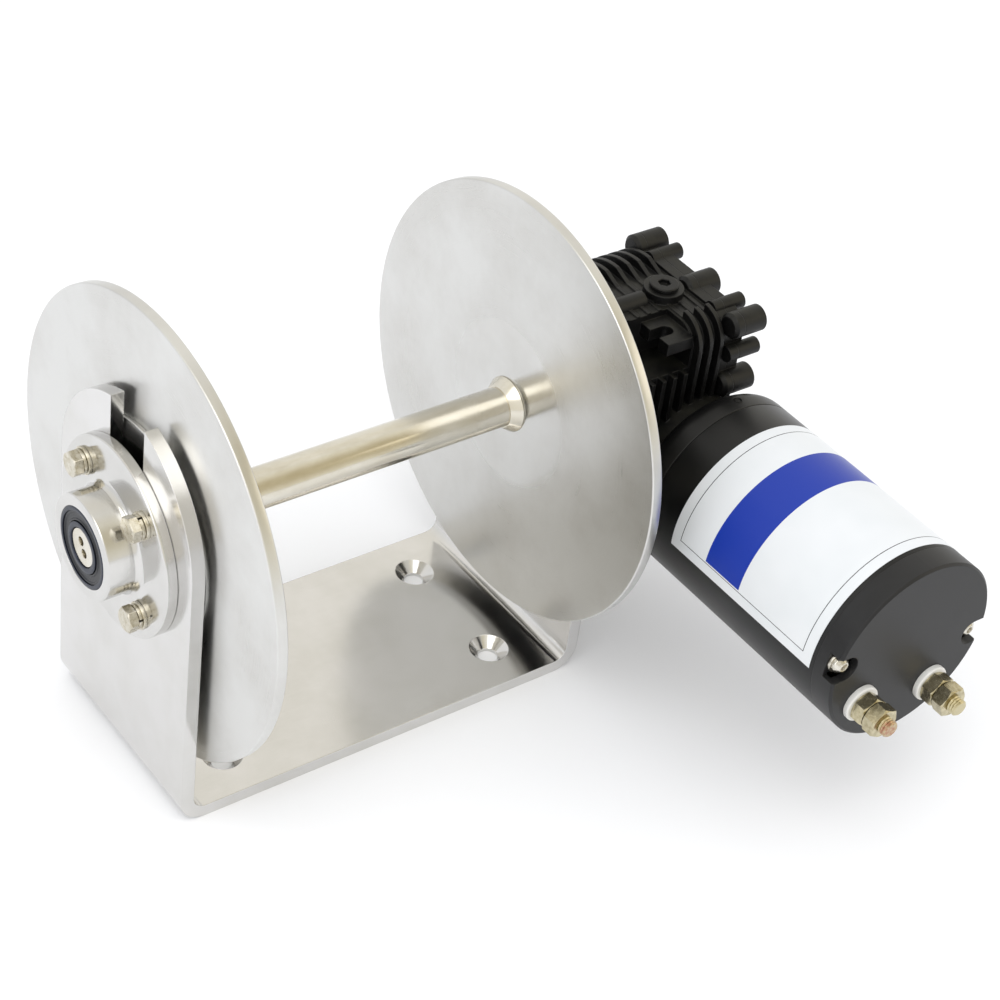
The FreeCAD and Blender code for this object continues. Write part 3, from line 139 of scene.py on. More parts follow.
def soft_edge(tree, samples, edge_mm):
    """The surface normal, rounded over near edges."""
    return add(tree, "Bevel", {"samples": samples}, Radius=edge_mm * MM).outputs["Normal"]


def relief(tree, strength, depth_mm, height, **under):
    """The normal of a surface that a height value raises by up to the depth, over an edge normal."""
    return add(tree, "Bump", Strength=strength, Distance=depth_mm * MM, Height=height,
               **under).outputs["Normal"]


def stretched_noise(tree, place, grain_mm, detail=3.0):
    """Noise whose grains have the given sizes in millimetres along X, Y and Z."""
    scaled = add(tree, "Mapping", Vector=place, Scale=[1 / (g * MM) for g in grain_mm])
    return add(tree, "TexNoise", Vector=scaled.outputs["Vector"], Scale=1.0, Detail=detail,
               Roughness=0.6).outputs["Fac"]


def satin_stainless(name, grain_mm):
    """Polished stainless sheet: lines along the longest grain size, soft clouds and a soft edge."""
    made, tree, base, place = shader(name, Metallic=1.0)
    lines = stretched_noise(tree, place, grain_mm)
    clouds = stretched_noise(tree, place, (34.0,) * 3, 4.0)
    tone = ramp(tree, clouds, [(0.3, "#D2D1CE"), (0.62, "#DBDAD9")])
    feed(tree, base,
         Base_Color=streaked(tree, tone, lines, 0.95, 1.03),
         Roughness=maths(tree, "ADD", spread(tree, lines, 0.12, 0.2),
                         spread(tree, clouds, -0.03, 0.05)),
         Normal=relief(tree, 0.05, 0.02, lines, Normal=soft_edge(tree, 6, 0.5)))
    return made


def wear(node_name, material):
    """Gives a carried-over node its own finish in every slot."""
    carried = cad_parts[node_name]
    carried.data.materials.clear()
    carried.data.materials.append(material)


wear("bracket", satin_stainless("satin_polished_stainless_sheet", (60.0, 0.35, 0.35)))


# ---- drum cheeks: 5 mm stainless discs, faced on a lathe and polished, so that the finish runs in
# rings round the hub, with hazy clouds left by the wheel. The rim is turned smooth and its corners are
# broken. A thinner disc stiffens each cheek on its outer face.
AXIS = np.array([0.0, 0.0, 118.7])
AROUND = 192


def rounded(corners, radii, steps=5):
    """A closed outline with each corner replaced by an arc: the arc touches both sides at r times the
    cotangent of the half angle from the corner, and its points are spaced evenly by angle."""
    out = []
    count = len(corners)
    for i, (corner, radius) in enumerate(zip(np.asarray(corners, float), radii)):
        before = np.asarray(corners[i - 1], float) - corner
        after = np.asarray(corners[(i + 1) % count], float) - corner
        if radius <= 0:
            out.append(corner[None])
            continue
        a = before / np.linalg.norm(before)
        b = after / np.linalg.norm(after)
        half = math.acos(np.clip(a @ b, -1, 1)) / 2
        reach = radius / math.tan(half)
        middle = corner + (a + b) / np.linalg.norm(a + b) * radius / math.sin(half)
        first = corner + a * reach - middle
        last = corner + b * reach - middle
        turn = math.atan2(first[0] * last[1] - first[1] * last[0], first @ last)
        angles = np.linspace(0, turn, steps)
        out.append(middle + np.stack([first[0] * np.cos(angles) - first[1] * np.sin(angles),
                                      first[0] * np.sin(angles) + first[1] * np.cos(angles)], axis=1))
    return np.concatenate(out)


def sheet_of(points, close_u=True, close_v=True):
    """Vertices and quads of a grid of points, shape (u, v, 3); a closed direction joins its last row to
    its first."""
    rows, columns = points.shape[:2]
    u = np.arange(rows if close_u else rows - 1)
    v = np.arange(columns if close_v else columns - 1)
    u, v = (g.ravel() for g in np.meshgrid(u, v, indexing="ij"))
    next_u, next_v = (u + 1) % rows, (v + 1) % columns
    quads = np.stack([u * columns + v, next_u * columns + v, next_u * columns + next_v,
                      u * columns + next_v], axis=1)
    return points.reshape(-1, 3), quads


def laid_along(along, distance, across, upward, centre):
    """Points from a distance along a line through the centre and two distances across it; the line runs
    along +X ("x"), -X ("-x") or -Y ("-y")."""
    order = {"x": (distance, across, upward), "-x": (-distance, across, upward),
             "-y": (across, -distance, upward)}
    return np.stack(order[along], axis=2) + np.asarray(centre)


def revolve(profile, centre=AXIS, along="x", count=AROUND):
    """A profile of (distance, radius) turned about a line through the centre: the point at angle t is
    centre + distance along the line + radius (cos t, sin t) across it."""
    angles = np.linspace(0, 2 * np.pi, count, endpoint=False)[:, None]
    distance = np.broadcast_to(profile[:, 0], (count, len(profile)))
    return sheet_of(laid_along(along, distance, profile[:, 1] * np.cos(angles),
                               profile[:, 1] * np.sin(angles), centre))


def piece(name, parts, body, material, stands_for=(), sharp=32.0):
    """One mesh from (vertices in mm, faces) parts; doubles are merged, faces turned outwards, edges
    flatter than the sharp angle shaded smooth, and the piece rides on its body."""
    work = bmesh.new()
    for vertices, faces in parts:
        mesh = bpy.data.meshes.new("part")
        faces = faces.tolist() if isinstance(faces, np.ndarray) else faces
        mesh.from_pydata(np.asarray(vertices) * MM, [], faces)
        work.from_mesh(mesh)
        bpy.data.meshes.remove(mesh)
    bmesh.ops.remove_doubles(work, verts=work.verts, dist=1e-6)
    bmesh.ops.dissolve_degenerate(work, edges=work.edges, dist=1e-7)
    bmesh.ops.recalc_face_normals(work, faces=work.faces)
    for face in work.faces:
        face.smooth = True
    for edge in work.edges:
        edge.smooth = len(edge.link_faces) == 2 and edge.calc_face_angle(0) < math.radians(sharp)
    mesh = bpy.data.meshes.new(name)
    work.to_mesh(mesh)
    work.free()
    mesh.materials.append(material)
    made = bpy.data.objects.new(name, mesh)
    bpy.context.collection.objects.link(made)
    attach(made, body)
    if stands_for:
        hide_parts(*stands_for)
    return made


def faced_stainless(name, colour, shade, rough, ring_mm, mirror_mm):
    """Lathe-faced and polished stainless: noise along the radius gives rings, wide noise gives haze;
    inside the mirror radius the polish is brighter, and the grain is drawn out round the axis."""
    made, tree, base, place = shader(name, Metallic=1.0, Anisotropic=0.4)
    round_axis = add(tree, "Tangent", {"direction_type": "RADIAL", "axis": "X"}).outputs[0]
    centred = add(tree, "Mapping", {"vector_type": "POINT"}, Vector=place,
                  Location=[0, 0, -AXIS[2] * MM], Scale=[0, 1, 1]).outputs["Vector"]
    radius = add(tree, "VectorMath", {"operation": "LENGTH"}, _0=centred).outputs["Value"]
    rings = add(tree, "TexNoise", {"noise_dimensions": "1D"}, W=radius, Scale=1 / (ring_mm * MM),
                Detail=3.0, Roughness=0.7).outputs["Fac"]
    haze = stretched_noise(tree, place, (46.0,) * 3, 5.0)
    tone = ramp(tree, haze, [(0.34, shade), (0.6, colour)])
    whole = maths(tree, "ADD", spread(tree, rings, *rough), spread(tree, haze, -0.04, 0.06))
    fade_mm = 4.0
    matt = add(tree, "MapRange", {"interpolation_type": "SMOOTHSTEP"}, Value=radius,
               From_Min=mirror_mm * MM, From_Max=(mirror_mm + fade_mm) * MM,
               To_Min=0.55, To_Max=1.0).outputs["Result"]
    feed(tree, base,
         Tangent=round_axis,
         Base_Color=streaked(tree, tone, rings, 0.97, 1.03),
         Roughness=maths(tree, "MULTIPLY", whole, matt),
         Normal=relief(tree, 0.025, 0.02, rings))
    return made


def disc(low, high, bore, outer, edge):
    """A flat disc with a bore and rounded rim corners, as a closed outline to revolve."""
    corners = [(low, bore), (high, bore), (high, outer), (low, outer)]
    return rounded(corners, [0, 0, edge, edge])


cheek_r, stiffener_r, spindle_r = 100.0, 48.0, 9.0
faced = faced_stainless("faced_and_polished_stainless", "#D6D6D4", "#CBCAC7", (0.24, 0.34),
                        ring_mm=0.6, mirror_mm=36.0)
for side in ("left", "right"):
    low, high = (corner[0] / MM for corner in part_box(f"{side}_cheek"))
    piece(f"{side}_drum_cheek", [revolve(disc(low, high, spindle_r, cheek_r, 0.7), count=256)], "drum",
          faced, [f"{side}_cheek"])
    low, high = (corner[0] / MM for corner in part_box(f"{side}_hub_disc"))
    piece(f"{side}_stiffening_disc", [revolve(disc(low, high, spindle_r, stiffener_r, 0.4))], "drum",
          faced, [f"{side}_hub_disc"])


# ---- spindle and collars: one polished 18 mm bar, welded into the cheeks behind two turned cone
# collars. The bar's finish runs round it in fine turning marks; its outboard end has two drilled
# dimples.
def turned_stainless(name):
    """Turned bar: noise along the axis gives the tool's rings, wide noise gives tone."""
    made, tree, base, place = shader(name, Metallic=1.0)
    marks = stretched_noise(tree, place, (0.5, 40.0, 40.0), 3.0)
    wide = stretched_noise(tree, place, (30.0, 12.0, 12.0), 4.0)
    feed(tree, base,
         Base_Color=ramp(tree, wide, [(0.35, "#CDC7B8"), (0.6, "#DAD6CB")]),
         Roughness=spread(tree, marks, 0.14, 0.24),
         Normal=relief(tree, 0.08, 0.02, marks))
    return made


bar_steel = turned_stainless("turned_and_polished_bar")
spindle_low, spindle_high = (corner[0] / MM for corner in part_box("spindle"))
bearing_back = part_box("bearing_inner_ring")[1][0] / MM
journal_r, journal_edge, drive_hole_r = 8.5, 0.4, 4.0
dimple_r, dimple_wall, dimple_depth, dimple_at = 2.0, 0.3, 4.2, 2.6
dimples = [(dimple_at * math.cos(a), dimple_at * math.sin(a))
           for a in (math.radians(60), math.radians(240))]


def dimpled_end(radius, x, centres, count=160, rings=90):
    """A flat round face with drilled dimples: a disc of rings whose depth rises from zero at dimple_r
    from the nearest dimple centre to dimple_depth over the width of dimple_wall, and stays there."""
    angle = np.linspace(0, 2 * np.pi, count, endpoint=False)[:, None]
    reach = np.linspace(0, radius, rings)[None]
    y, z = reach * np.cos(angle), reach * np.sin(angle)
    depth = sum(np.clip((dimple_r - np.hypot(y - cy, z - cz)) / dimple_wall, 0, 1)
                for cy, cz in centres) * dimple_depth
    return sheet_of(np.stack([x + depth, y, z], axis=2) + AXIS, close_v=False)


bar = rounded([(spindle_low, journal_r), (bearing_back, journal_r), (bearing_back, spindle_r),
               (spindle_high, spindle_r), (spindle_high, drive_hole_r)],
              [journal_edge, 0, 0.2, 0.5, 0], 4)
vertices, quads = revolve(np.vstack([bar, [(spindle_high, 0.0)]]), count=96)
columns = len(bar) + 1
place_in_row = quads % columns
open_quads = quads[place_in_row.max(axis=1) - place_in_row.min(axis=1) < columns - 1]
end_face = dimpled_end(journal_r - journal_edge, spindle_low, dimples)
piece("drum_spindle", [(vertices, open_quads), end_face], "drum", bar_steel,
      ["spindle"], sharp=40)
collar_r, collar_length = 13.0, 5.0
for side, foot, way in (("left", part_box("left_collar")[0][0] / MM, 1),
                        ("right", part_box("right_collar")[1][0] / MM, -1)):
    tip = foot + way * collar_length
    cone = rounded([(foot, spindle_r), (foot, collar_r), (tip, spindle_r + 0.5), (tip, spindle_r)],
                   [0, 0.35, 0.15, 0])
    piece(f"{side}_cone_collar", [revolve(cone, count=128)], "drum", bar_steel,
          [f"{side}_collar"])


# ---- outboard bearing housing: a round flange and hub turned from one stainless bar, bolted over the
# open slot. The hub's side carries turning marks and mirrors the bolts.
flange_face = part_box("bracket")[0][0] / MM
hub_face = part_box("bearing_housing")[0][0] / MM
flange_thick, flange_r, hub_r, bore_r, seat_r, seat_depth = 5.0, 42.5, 22.5, 14.0, 17.5, 10.0
flange_out = flange_face - flange_thick
housing_steel = faced_stainless("turned_housing_stainless", "#D5D4D2", "#C9C8C5", (0.1, 0.18),
                                ring_mm=0.5, mirror_mm=0.0)
housing = rounded([(flange_face, bore_r), (flange_face, flange_r), (flange_out, flange_r),
                   (flange_out, hub_r), (hub_face, hub_r), (hub_face, seat_r),
                   (hub_face + seat_depth, seat_r), (hub_face + seat_depth, bore_r)],
                  [0, 0.5, 0.7, 3.0, 0.7, 0.3, 0, 0])
piece("flanged_bearing_housing", [revolve(housing)], "frame", housing_steel,
      ["bearing_housing"])


# ---- sealed ball bearing: ground steel rings, painted dark blue-black to stand in for the shade and the dark reflections inside the bearing, and a
# moulded rubber seal with two raised lips; the balls and the cage sit behind the seals.
def even_metal(name, shade, colour, rough=0.3):
    """Metal with an even surface, ground or machined: fine noise gives close tones, and a roughness
    within 0.08 of the given one."""
    made, tree, base, place = shader(name, Metallic=1.0)
    fine = stretched_noise(tree, place, (0.8,) * 3, 2.0)
    feed(tree, base,
         Base_Color=ramp(tree, fine, [(0.2, shade), (0.8, colour)]),
         Roughness=spread(tree, fine, rough - 0.08, rough + 0.08))
    return made


def moulded(name, dark, light, rough, grain_mm=0.5, strength=0.2):
    """A moulded plain surface: close tones, with a fine grain in gloss and height."""
    made, tree, base, place = shader(name)
    grain = stretched_noise(tree, place, (grain_mm,) * 3, 2.0)
    wide = stretched_noise(tree, place, (14.0,) * 3, 3.0)
    feed(tree, base,
         Base_Color=ramp(tree, wide, [(0.3, dark), (0.7, light)]),
         Roughness=spread(tree, grain, rough - 0.06, rough + 0.08),
         Normal=relief(tree, strength, 0.03, grain))
    return made


# the rings' dark blue-black is painted shade and painted dark reflection, not the ground steel's own
# colour
painted_dark_ring_steel = even_metal("ground_bearing_steel_painted_dark", "#2B2E37", "#3F434E")
seal_rubber = moulded("moulded_seal_rubber", "#0E1014", "#171A20", 0.42)
ring_low, ring_high = (corner[0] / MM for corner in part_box("bearing_outer_ring"))
outer_ring_in, inner_ring_out = 15.6, 11.0
outer_ring = rounded([(ring_low, outer_ring_in), (ring_high, outer_ring_in), (ring_high, seat_r),
                      (ring_low, seat_r)], [0.15, 0.15, 0.5, 0.5], 4)
inner_ring = rounded([(ring_low, journal_r), (ring_high, journal_r), (ring_high, inner_ring_out),
                      (ring_low, inner_ring_out)], [0.4, 0.4, 0.15, 0.15], 4)
for name, ring, body in (("outer", outer_ring, "frame"), ("inner", inner_ring, "drum")):
    piece(f"{name}_bearing_race", [revolve(ring, count=128)], body, painted_dark_ring_steel,
          [f"bearing_{name}_ring"])
seal_sunk, lip_height, seal_thick = 0.5, 0.35, 0.9
seal_parts = []
for lip, way in ((ring_low + seal_sunk, 1), (ring_high - seal_sunk, -1)):
    groove, behind = lip + way * lip_height, lip + way * seal_thick
    seal = rounded([(lip, 11.3), (lip, 12.0), (groove, 12.3), (groove, 14.4), (lip, 14.7),
                    (lip, outer_ring_in), (behind, outer_ring_in), (behind, 11.3)],
                   [0.1, 0.15, 0.1, 0.1, 0.15, 0.1, 0, 0], 3)
    seal_parts.append(revolve(seal, count=128))
piece("rubber_seals", seal_parts, "frame", seal_rubber, ["bearing_seals"])
wear("bearing_balls", even_metal("polished_ball_steel", "#9A9A9A", "#C8C8C8", 0.14))
wear("bearing_cage", even_metal("pressed_cage_steel", "#7A7468", "#9C9484", 0.35))


# ---- housing bolts: stainless hexagon bolts, each on a split spring washer and a plain washer. Each
# head has stopped at its own angle.
def hexagon_radius(angle, flats, turn):
    """Distance from the centre to the side of a hexagon of this width across flats at each angle: half
    the width over the cosine of the angle from the middle of the side."""
    folded = np.mod(angle - turn, np.pi / 3) - np.pi / 6
    return flats / 2 / np.cos(folded)


def hexagon_block(centre, along, flats, low, high, bore, turn, chamfer_low=True, count=144):
    """A nut or bolt head: at each angle the outline runs from the bore to the chamfer circle, then to
    the hexagon's side, set back by the tangent of 30 degrees times what the corner stands out past the
    circle."""
    edge = 0.12
    angle = np.linspace(0, 2 * np.pi, count, endpoint=False)
    side = hexagon_radius(angle, flats, turn)
    circle = flats / 2 * 0.985
    drop = (side - circle) * math.tan(math.radians(30))
    drop_low = drop if chamfer_low else edge
    profile = [(low, bore), (low, circle), (low + drop_low, side - edge), (low + drop_low + edge, side),
               (high - drop - edge, side), (high - drop, side - edge), (high, circle), (high, bore)]
    distance, radius = (np.stack([np.broadcast_to(values, count) for values in column], axis=1)
                        for column in zip(*profile))
    return sheet_of(laid_along(along, distance, radius * np.cos(angle)[:, None],
                               radius * np.sin(angle)[:, None], centre))


def split_ring(centre, low, high, inner, outer, climb, start, gap_degrees=10, count=72):
    """A spring washer: a square section carried round an open turn, higher by the climb at its
    end."""
    share = np.linspace(0, 1, count)[:, None]
    angle = start + share * math.radians(360 - gap_degrees)
    section = rounded([(low, inner), (high - climb, inner), (high - climb, outer), (low, outer)],
                      [0.15] * 4, 3)
    grid = laid_along("x", section[:, 0][None] + climb * share, section[:, 1][None] * np.cos(angle),
                      section[:, 1][None] * np.sin(angle), centre)
    vertices, quads = sheet_of(grid, close_u=False)
    size = len(section)
    ends = [list(range(size)), list(range((count - 1) * size, count * size))]
    return vertices, quads.tolist() + ends


def plain_washer(centre, along, low, high, inner, outer, count=64):
    """A flat ring with its outer corners rounded, turned about a line through the centre."""
    section = rounded([(low, inner), (low, outer), (high, outer), (high, inner)],
                      [0.1, 0.3, 0.3, 0.1], 3)
    return revolve(section, centre, along, count)


def bright_hardware(name, colour, shade, rough=(0.2, 0.36)):
    """Cold-headed fasteners: bright, with small dull patches and tool scratches."""
    made, tree, base, place = shader(name, Metallic=1.0)
    patches = stretched_noise(tree, place, (2.2,) * 3, 4.0)
    scratches = stretched_noise(tree, place, (0.15, 2.5, 0.6), 2.0)
    feed(tree, base,
         Base_Color=ramp(tree, patches, [(0.35, shade), (0.62, colour)]),
         Roughness=maths(tree, "ADD", spread(tree, patches, *rough),
                         spread(tree, scratches, -0.05, 0.07)),
         Normal=relief(tree, 0.15, 0.02, scratches))
    return made


bolt_steel = bright_hardware("bright_stainless_bolts", "#D4CFC2", "#BAB39F")
bolt_circle_r = 32.5
washer_thick, spring_thick, head_thick, head_flats, shank_r = 1.6, 1.6, 4.0, 10.0, 3.0
hole_r, washer_r, spring_r, shank_chamfer = 3.3, 6.0, 5.3, 0.4
washer_x = flange_out - washer_thick
spring_x = washer_x - spring_thick
shank_x = flange_face + 5.0
shank = np.array([(spring_x, 0.0), (spring_x, shank_r), (shank_x - shank_chamfer, shank_r),
                  (shank_x, shank_r - shank_chamfer), (shank_x, 0.0)])
heads, plain, springs = [], [], []
for i, a in enumerate(math.radians(degrees) for degrees in (45, 135, 225, 315)):
    centre = AXIS + (0, bolt_circle_r * math.cos(a), bolt_circle_r * math.sin(a))
    heads.append(hexagon_block(centre, "-x", head_flats, -spring_x, -spring_x + head_thick, bore=0.0,
                               turn=math.radians(14 + 21 * i), chamfer_low=False))
    heads.append(revolve(shank, centre, count=32))
    plain.append(plain_washer(centre, "x", washer_x, flange_out, hole_r, washer_r))
    springs.append(split_ring(centre, spring_x, washer_x, hole_r, spring_r, climb=0.2, start=0.9 + i))
piece("hexagon_bolts", heads, "frame", bolt_steel, ["housing_bolts"])
piece("plain_washers", plain, "frame", bolt_steel, ["housing_washers"])
piece("split_spring_washers", springs, "frame", bolt_steel,
      ["housing_spring_washers"])


# ---- gearbox: a pressure-cast aluminium case and side cover, painted satin black and bolted to the
# right upright. The paint is grainy, its edges are soft, and pale dust has settled on what faces up.
def rise(tree, value, start, end):
    """Zero at the start, one at the end, straight between them and held outside them."""
    return add(tree, "MapRange", Value=value, From_Min=start, From_Max=end).outputs["Result"]


def mixed(tree, share, first, second):
    """Two colours mixed: the first at share zero, the second at share one."""
    return add(tree, "MixRGB", Fac=share, Color1=first, Color2=second).outputs[0]


def painted_casting(name):
    """Black paint on a casting: fine grain in height, dull blotches, and dust on upward faces, as much
    as the rise of the normal's Z times the rise of the blotches."""
    made, tree, base, place = shader(name, Specular_IOR_Level=0.35)
    grain = stretched_noise(tree, place, (0.9,) * 3, 3.0)
    blotch = stretched_noise(tree, place, (9.0,) * 3, 4.0)
    edge = soft_edge(tree, 8, 0.7)
    facing = add(tree, "SeparateXYZ", Vector=edge).outputs["Z"]
    settled = maths(tree, "MULTIPLY", rise(tree, facing, 0.2, 1.0), rise(tree, blotch, 0.4, 0.75))
    paint = ramp(tree, blotch, [(0.35, "#050505"), (0.65, "#0B0B0B")])
    feed(tree, base,
         Base_Color=mixed(tree, settled, paint, linear("#201F17")),
         Roughness=spread(tree, blotch, 0.34, 0.6),
         Normal=relief(tree, 0.35, 0.08, grain, Normal=edge))
    return made


def socket_plug(centre, top, thick, radius, flats, depth, turn, count=96):
    """A flat plug head with a hexagon socket: the outline runs in from the rim to the hexagon's side at
    each angle and down to the socket's floor."""
    rim, lip = 0.4, 0.25
    angle = np.linspace(0, 2 * np.pi, count, endpoint=False)
    side = hexagon_radius(angle, flats, turn)
    profile = [(0, top - thick), (radius, top - thick), (radius, top - rim), (radius - rim, top),
               (side + lip, top), (side, top - lip), (side, top - depth), (0, top - depth)]
    reach, height = (np.stack([np.broadcast_to(values, count) for values in column], axis=1)
                     for column in zip(*profile))
    grid = np.stack([reach * np.cos(angle)[:, None], reach * np.sin(angle)[:, None], height], axis=2)
    return sheet_of(grid + np.asarray(centre), close_v=False)


casting_black = painted_casting("painted_aluminium_casting")
wear("gearbox_housing", casting_black)
wear("gearbox_cover", casting_black)
black_screws = bright_hardware("blackened_steel_screws", "#333333", "#1A1A1A", (0.3, 0.5))
wear("cover_screws", black_screws)
wear("gearbox_screws", bolt_steel)
plug_low, plug_high = (np.array(corner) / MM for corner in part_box("filler_plug"))
plug_centre = np.array([(plug_low[0] + plug_high[0]) / 2, (plug_low[1] + plug_high[1]) / 2, 0.0])
plug_head = socket_plug(plug_centre, plug_high[2], thick=2.0, radius=6.5, flats=5.0, depth=1.8,
                        turn=0.2)
piece("filler_plug_head", [plug_head], "frame", casting_black, ["filler_plug"])


# ---- motor case: a deep-drawn front bell, a rolled steel tube and a cast rear cap, all sprayed satin
# black. The tube is smooth, so it shows one soft highlight; the cap's rim catches a thin bright line.
def sprayed_black(name, dark, light, rough):
    """Sprayed satin black on smooth metal: slight orange peel, a few dull smudges, soft edges."""
    made, tree, base, place = shader(name, Specular_IOR_Level=0.35)
    peel = stretched_noise(tree, place, (1.6,) * 3, 2.0)
    smudge = stretched_noise(tree, place, (22.0,) * 3, 5.0)
    feed(tree, base,
         Base_Color=ramp(tree, smudge, [(0.35, dark), (0.65, light)]),
         Roughness=spread(tree, smudge, *rough),
         Normal=relief(tree, 0.1, 0.02, peel, Normal=soft_edge(tree, 6, 0.5)))
    return made


case_black = sprayed_black("sprayed_motor_steel", "#0B0B0B", "#101010", (0.3, 0.42))
cap_black = sprayed_black("sprayed_cap_casting", "#1A1A1B", "#202021", (0.36, 0.5))
MOTOR = np.array([158.4, 0.0, 93.7])
motor_r, tube_in, bell_wall, shaft_hole_r, bush_seat_r = 43.5, 41.0, 4.0, 8.0, 14.0
bell_low, bell_high = 53.0, 69.0
bell_in = bell_low + bell_wall
cap_low, cap_face = (-corner[1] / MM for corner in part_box("motor_rear_cap")[::-1])
bell = rounded([(bell_low, shaft_hole_r), (bell_low, motor_r), (bell_high - 0.25, motor_r),
                (bell_high, motor_r - 0.35), (bell_high, tube_in), (bell_low + 10, tube_in - 2),
                (bell_in, 30.0), (bell_in, bush_seat_r), (bell_high - 1, bush_seat_r),
                (bell_high - 1, shaft_hole_r)], [0, 10.0, 0.2, 0.1, 0, 0, 0, 0, 0, 0], 12)
piece("rounded_front_bell", [revolve(bell, MOTOR, "-y")], "frame", case_black,
      ["motor_front_bell"])
tube = rounded([(bell_high, tube_in), (bell_high, motor_r), (cap_low, motor_r), (cap_low, tube_in)],
               [0, 0.35, 0.05, 0], 4)
piece("rolled_motor_tube", [revolve(tube, MOTOR, "-y", 256)], "frame", case_black,
      ["motor_tube"])
wear("motor_rear_cap", cap_black)


# ---- bell screw: a small blackened socket screw that locks the bell to the tube, just ahead of their
# seam. It stands 0.05 mm out of the bell.
bell_screw = socket_plug((MOTOR[0] + 3.0, -63.5, 0.0), MOTOR[2] + motor_r + 0.05, thick=1.2,
                         radius=2.3, flats=2.2, depth=1.0, turn=0.3, count=48)
piece("bell_locking_screw", [bell_screw], "frame", black_screws)


# ---- data label: a glossy vinyl sticker round the upper side of the tube, left without any words:
# white, a hair-thin black frame line and one blue band. It is 0.15 mm thick and lies close on the tube.
label_low, label_high = 86.0, 175.8
label_from, label_to = math.radians(182.5), math.radians(-4.0)
label_thick, label_gap = 0.15, 0.01
frame_inset, frame_width, band_clear = 5.0, 0.36, 0.6
band_low, band_high = 21.6, 43.2


def wrapped_strip(radius, low, high, start, end, count=128):
    """A thin strip bent round the motor: its rectangular section is carried along an arc, just clear of
    the radius."""
    section = np.array([(low, radius + label_gap), (low, radius + label_thick),
                        (high, radius + label_thick), (high, radius + label_gap)])
    angle = np.linspace(start, end, count)[:, None]
    distance = np.broadcast_to(section[:, 0], (count, 4))
    grid = laid_along("-y", distance, section[:, 1] * np.cos(angle), section[:, 1] * np.sin(angle),
                      MOTOR)
    vertices, quads = sheet_of(grid, close_u=False)
    ends = [[0, 1, 2, 3], [4 * count - 4, 4 * count - 3, 4 * count - 2, 4 * count - 1]]
    return vertices, quads.tolist() + ends


def between(tree, value, low, high):
    """One where the value lies between two limits, zero elsewhere."""
    return maths(tree, "MULTIPLY", maths(tree, "GREATER_THAN", value, low),
                 maths(tree, "LESS_THAN", value, high))


def printed_vinyl(name):
    """White vinyl under gloss film, printed with a frame line and a band, placed by the UV map in mm:
    u is the arc length from the rear edge and v the place along the axis."""
    made, tree, base, place = shader(name, Roughness=0.34, Specular_IOR_Level=0.35)
    across = add(tree, "UVMap", {"uv_map": "label"}).outputs["UV"]
    parts = add(tree, "SeparateXYZ", Vector=across)
    u, v = parts.outputs["X"], parts.outputs["Y"]
    arc, width = abs(label_to - label_from) * motor_r, label_high - label_low

    def inside(inset):
        """One inside the label by more than the inset from every edge."""
        return maths(tree, "MULTIPLY", between(tree, u, inset, arc - inset),
                     between(tree, v, inset, width - inset))

    frame_line = maths(tree, "SUBTRACT", inside(frame_inset), inside(frame_inset + frame_width))
    band_end = frame_inset + frame_width + band_clear
    band = maths(tree, "MULTIPLY", between(tree, u, band_end, arc - band_end),
                 between(tree, v, band_low, band_high))
    paper = ramp(tree, stretched_noise(tree, place, (30.0,) * 3, 2.0),
                 [(0.3, "#D9DCDD"), (0.7, "#DFE1E2")])
    banded = mixed(tree, band, paper, linear("#14349C"))
    feed(tree, base, Base_Color=mixed(tree, frame_line, banded, linear("#1C1D20")))
    return made


strip = wrapped_strip(motor_r, label_low, label_high, label_from, label_to)
label = piece("blank_vinyl_label", [strip], "frame", printed_vinyl("printed_vinyl"))
points = np.empty(len(label.data.vertices) * 3)
label.data.vertices.foreach_get("co", points)
points = points.reshape(-1, 3) / MM
turn = np.arctan2(points[:, 2] - MOTOR[2], points[:, 0] - MOTOR[0])
turn = np.where(turn < math.radians(-90), turn + 2 * np.pi, turn)
place_on_label = np.stack([(label_from - turn) * motor_r, -points[:, 1] - label_low], axis=1)
vertex_of = np.empty(len(label.data.loops), int)
label.data.loops.foreach_get("vertex_index", vertex_of)
label.data.uv_layers.new(name="label").data.foreach_set("uv", place_on_label[vertex_of].ravel())


# ---- tie bolts: two long nickel-plated screws through the motor; their domed heads and washers sit in
# notches in the cap.
tie_circle_r, tie_r, tie_start, notch_floor, tie_washer = 38.0, 2.5, 57.0, 183.5, 1.6
foot = notch_floor + tie_washer
dome = rounded([(foot, 0.0), (foot, 4.2), (foot + 1.6, 4.2), (foot + 3.5, 2.2), (foot + 3.5, 1.5),
                (foot + 2.2, 1.2), (foot + 2.2, 0.0)], [0, 0.2, 1.2, 0.8, 0.1, 0, 0], 6)
tie_shank = np.array([(tie_start, 0.0), (tie_start, tie_r), (foot, tie_r), (foot, 0.0)])
dome_parts, tie_washers = [], []
for a in (math.radians(171), math.radians(-9)):
    centre = MOTOR + (tie_circle_r * math.cos(a), 0, tie_circle_r * math.sin(a))
    dome_parts.append(revolve(dome, centre, "-y", 48))
    dome_parts.append(revolve(tie_shank, centre, "-y", 32))
    tie_washers.append(plain_washer(centre, "-y", notch_floor, foot, tie_r, 5.0))
nickel = bright_hardware("nickel_plated_screws", "#DAD6CC", "#A9A498", (0.16, 0.3))
piece("domed_tie_bolts", dome_parts, "frame", nickel, ["through_bolts"])
piece("tie_bolt_washers", tie_washers, "frame", nickel, ["through_bolt_washers"])


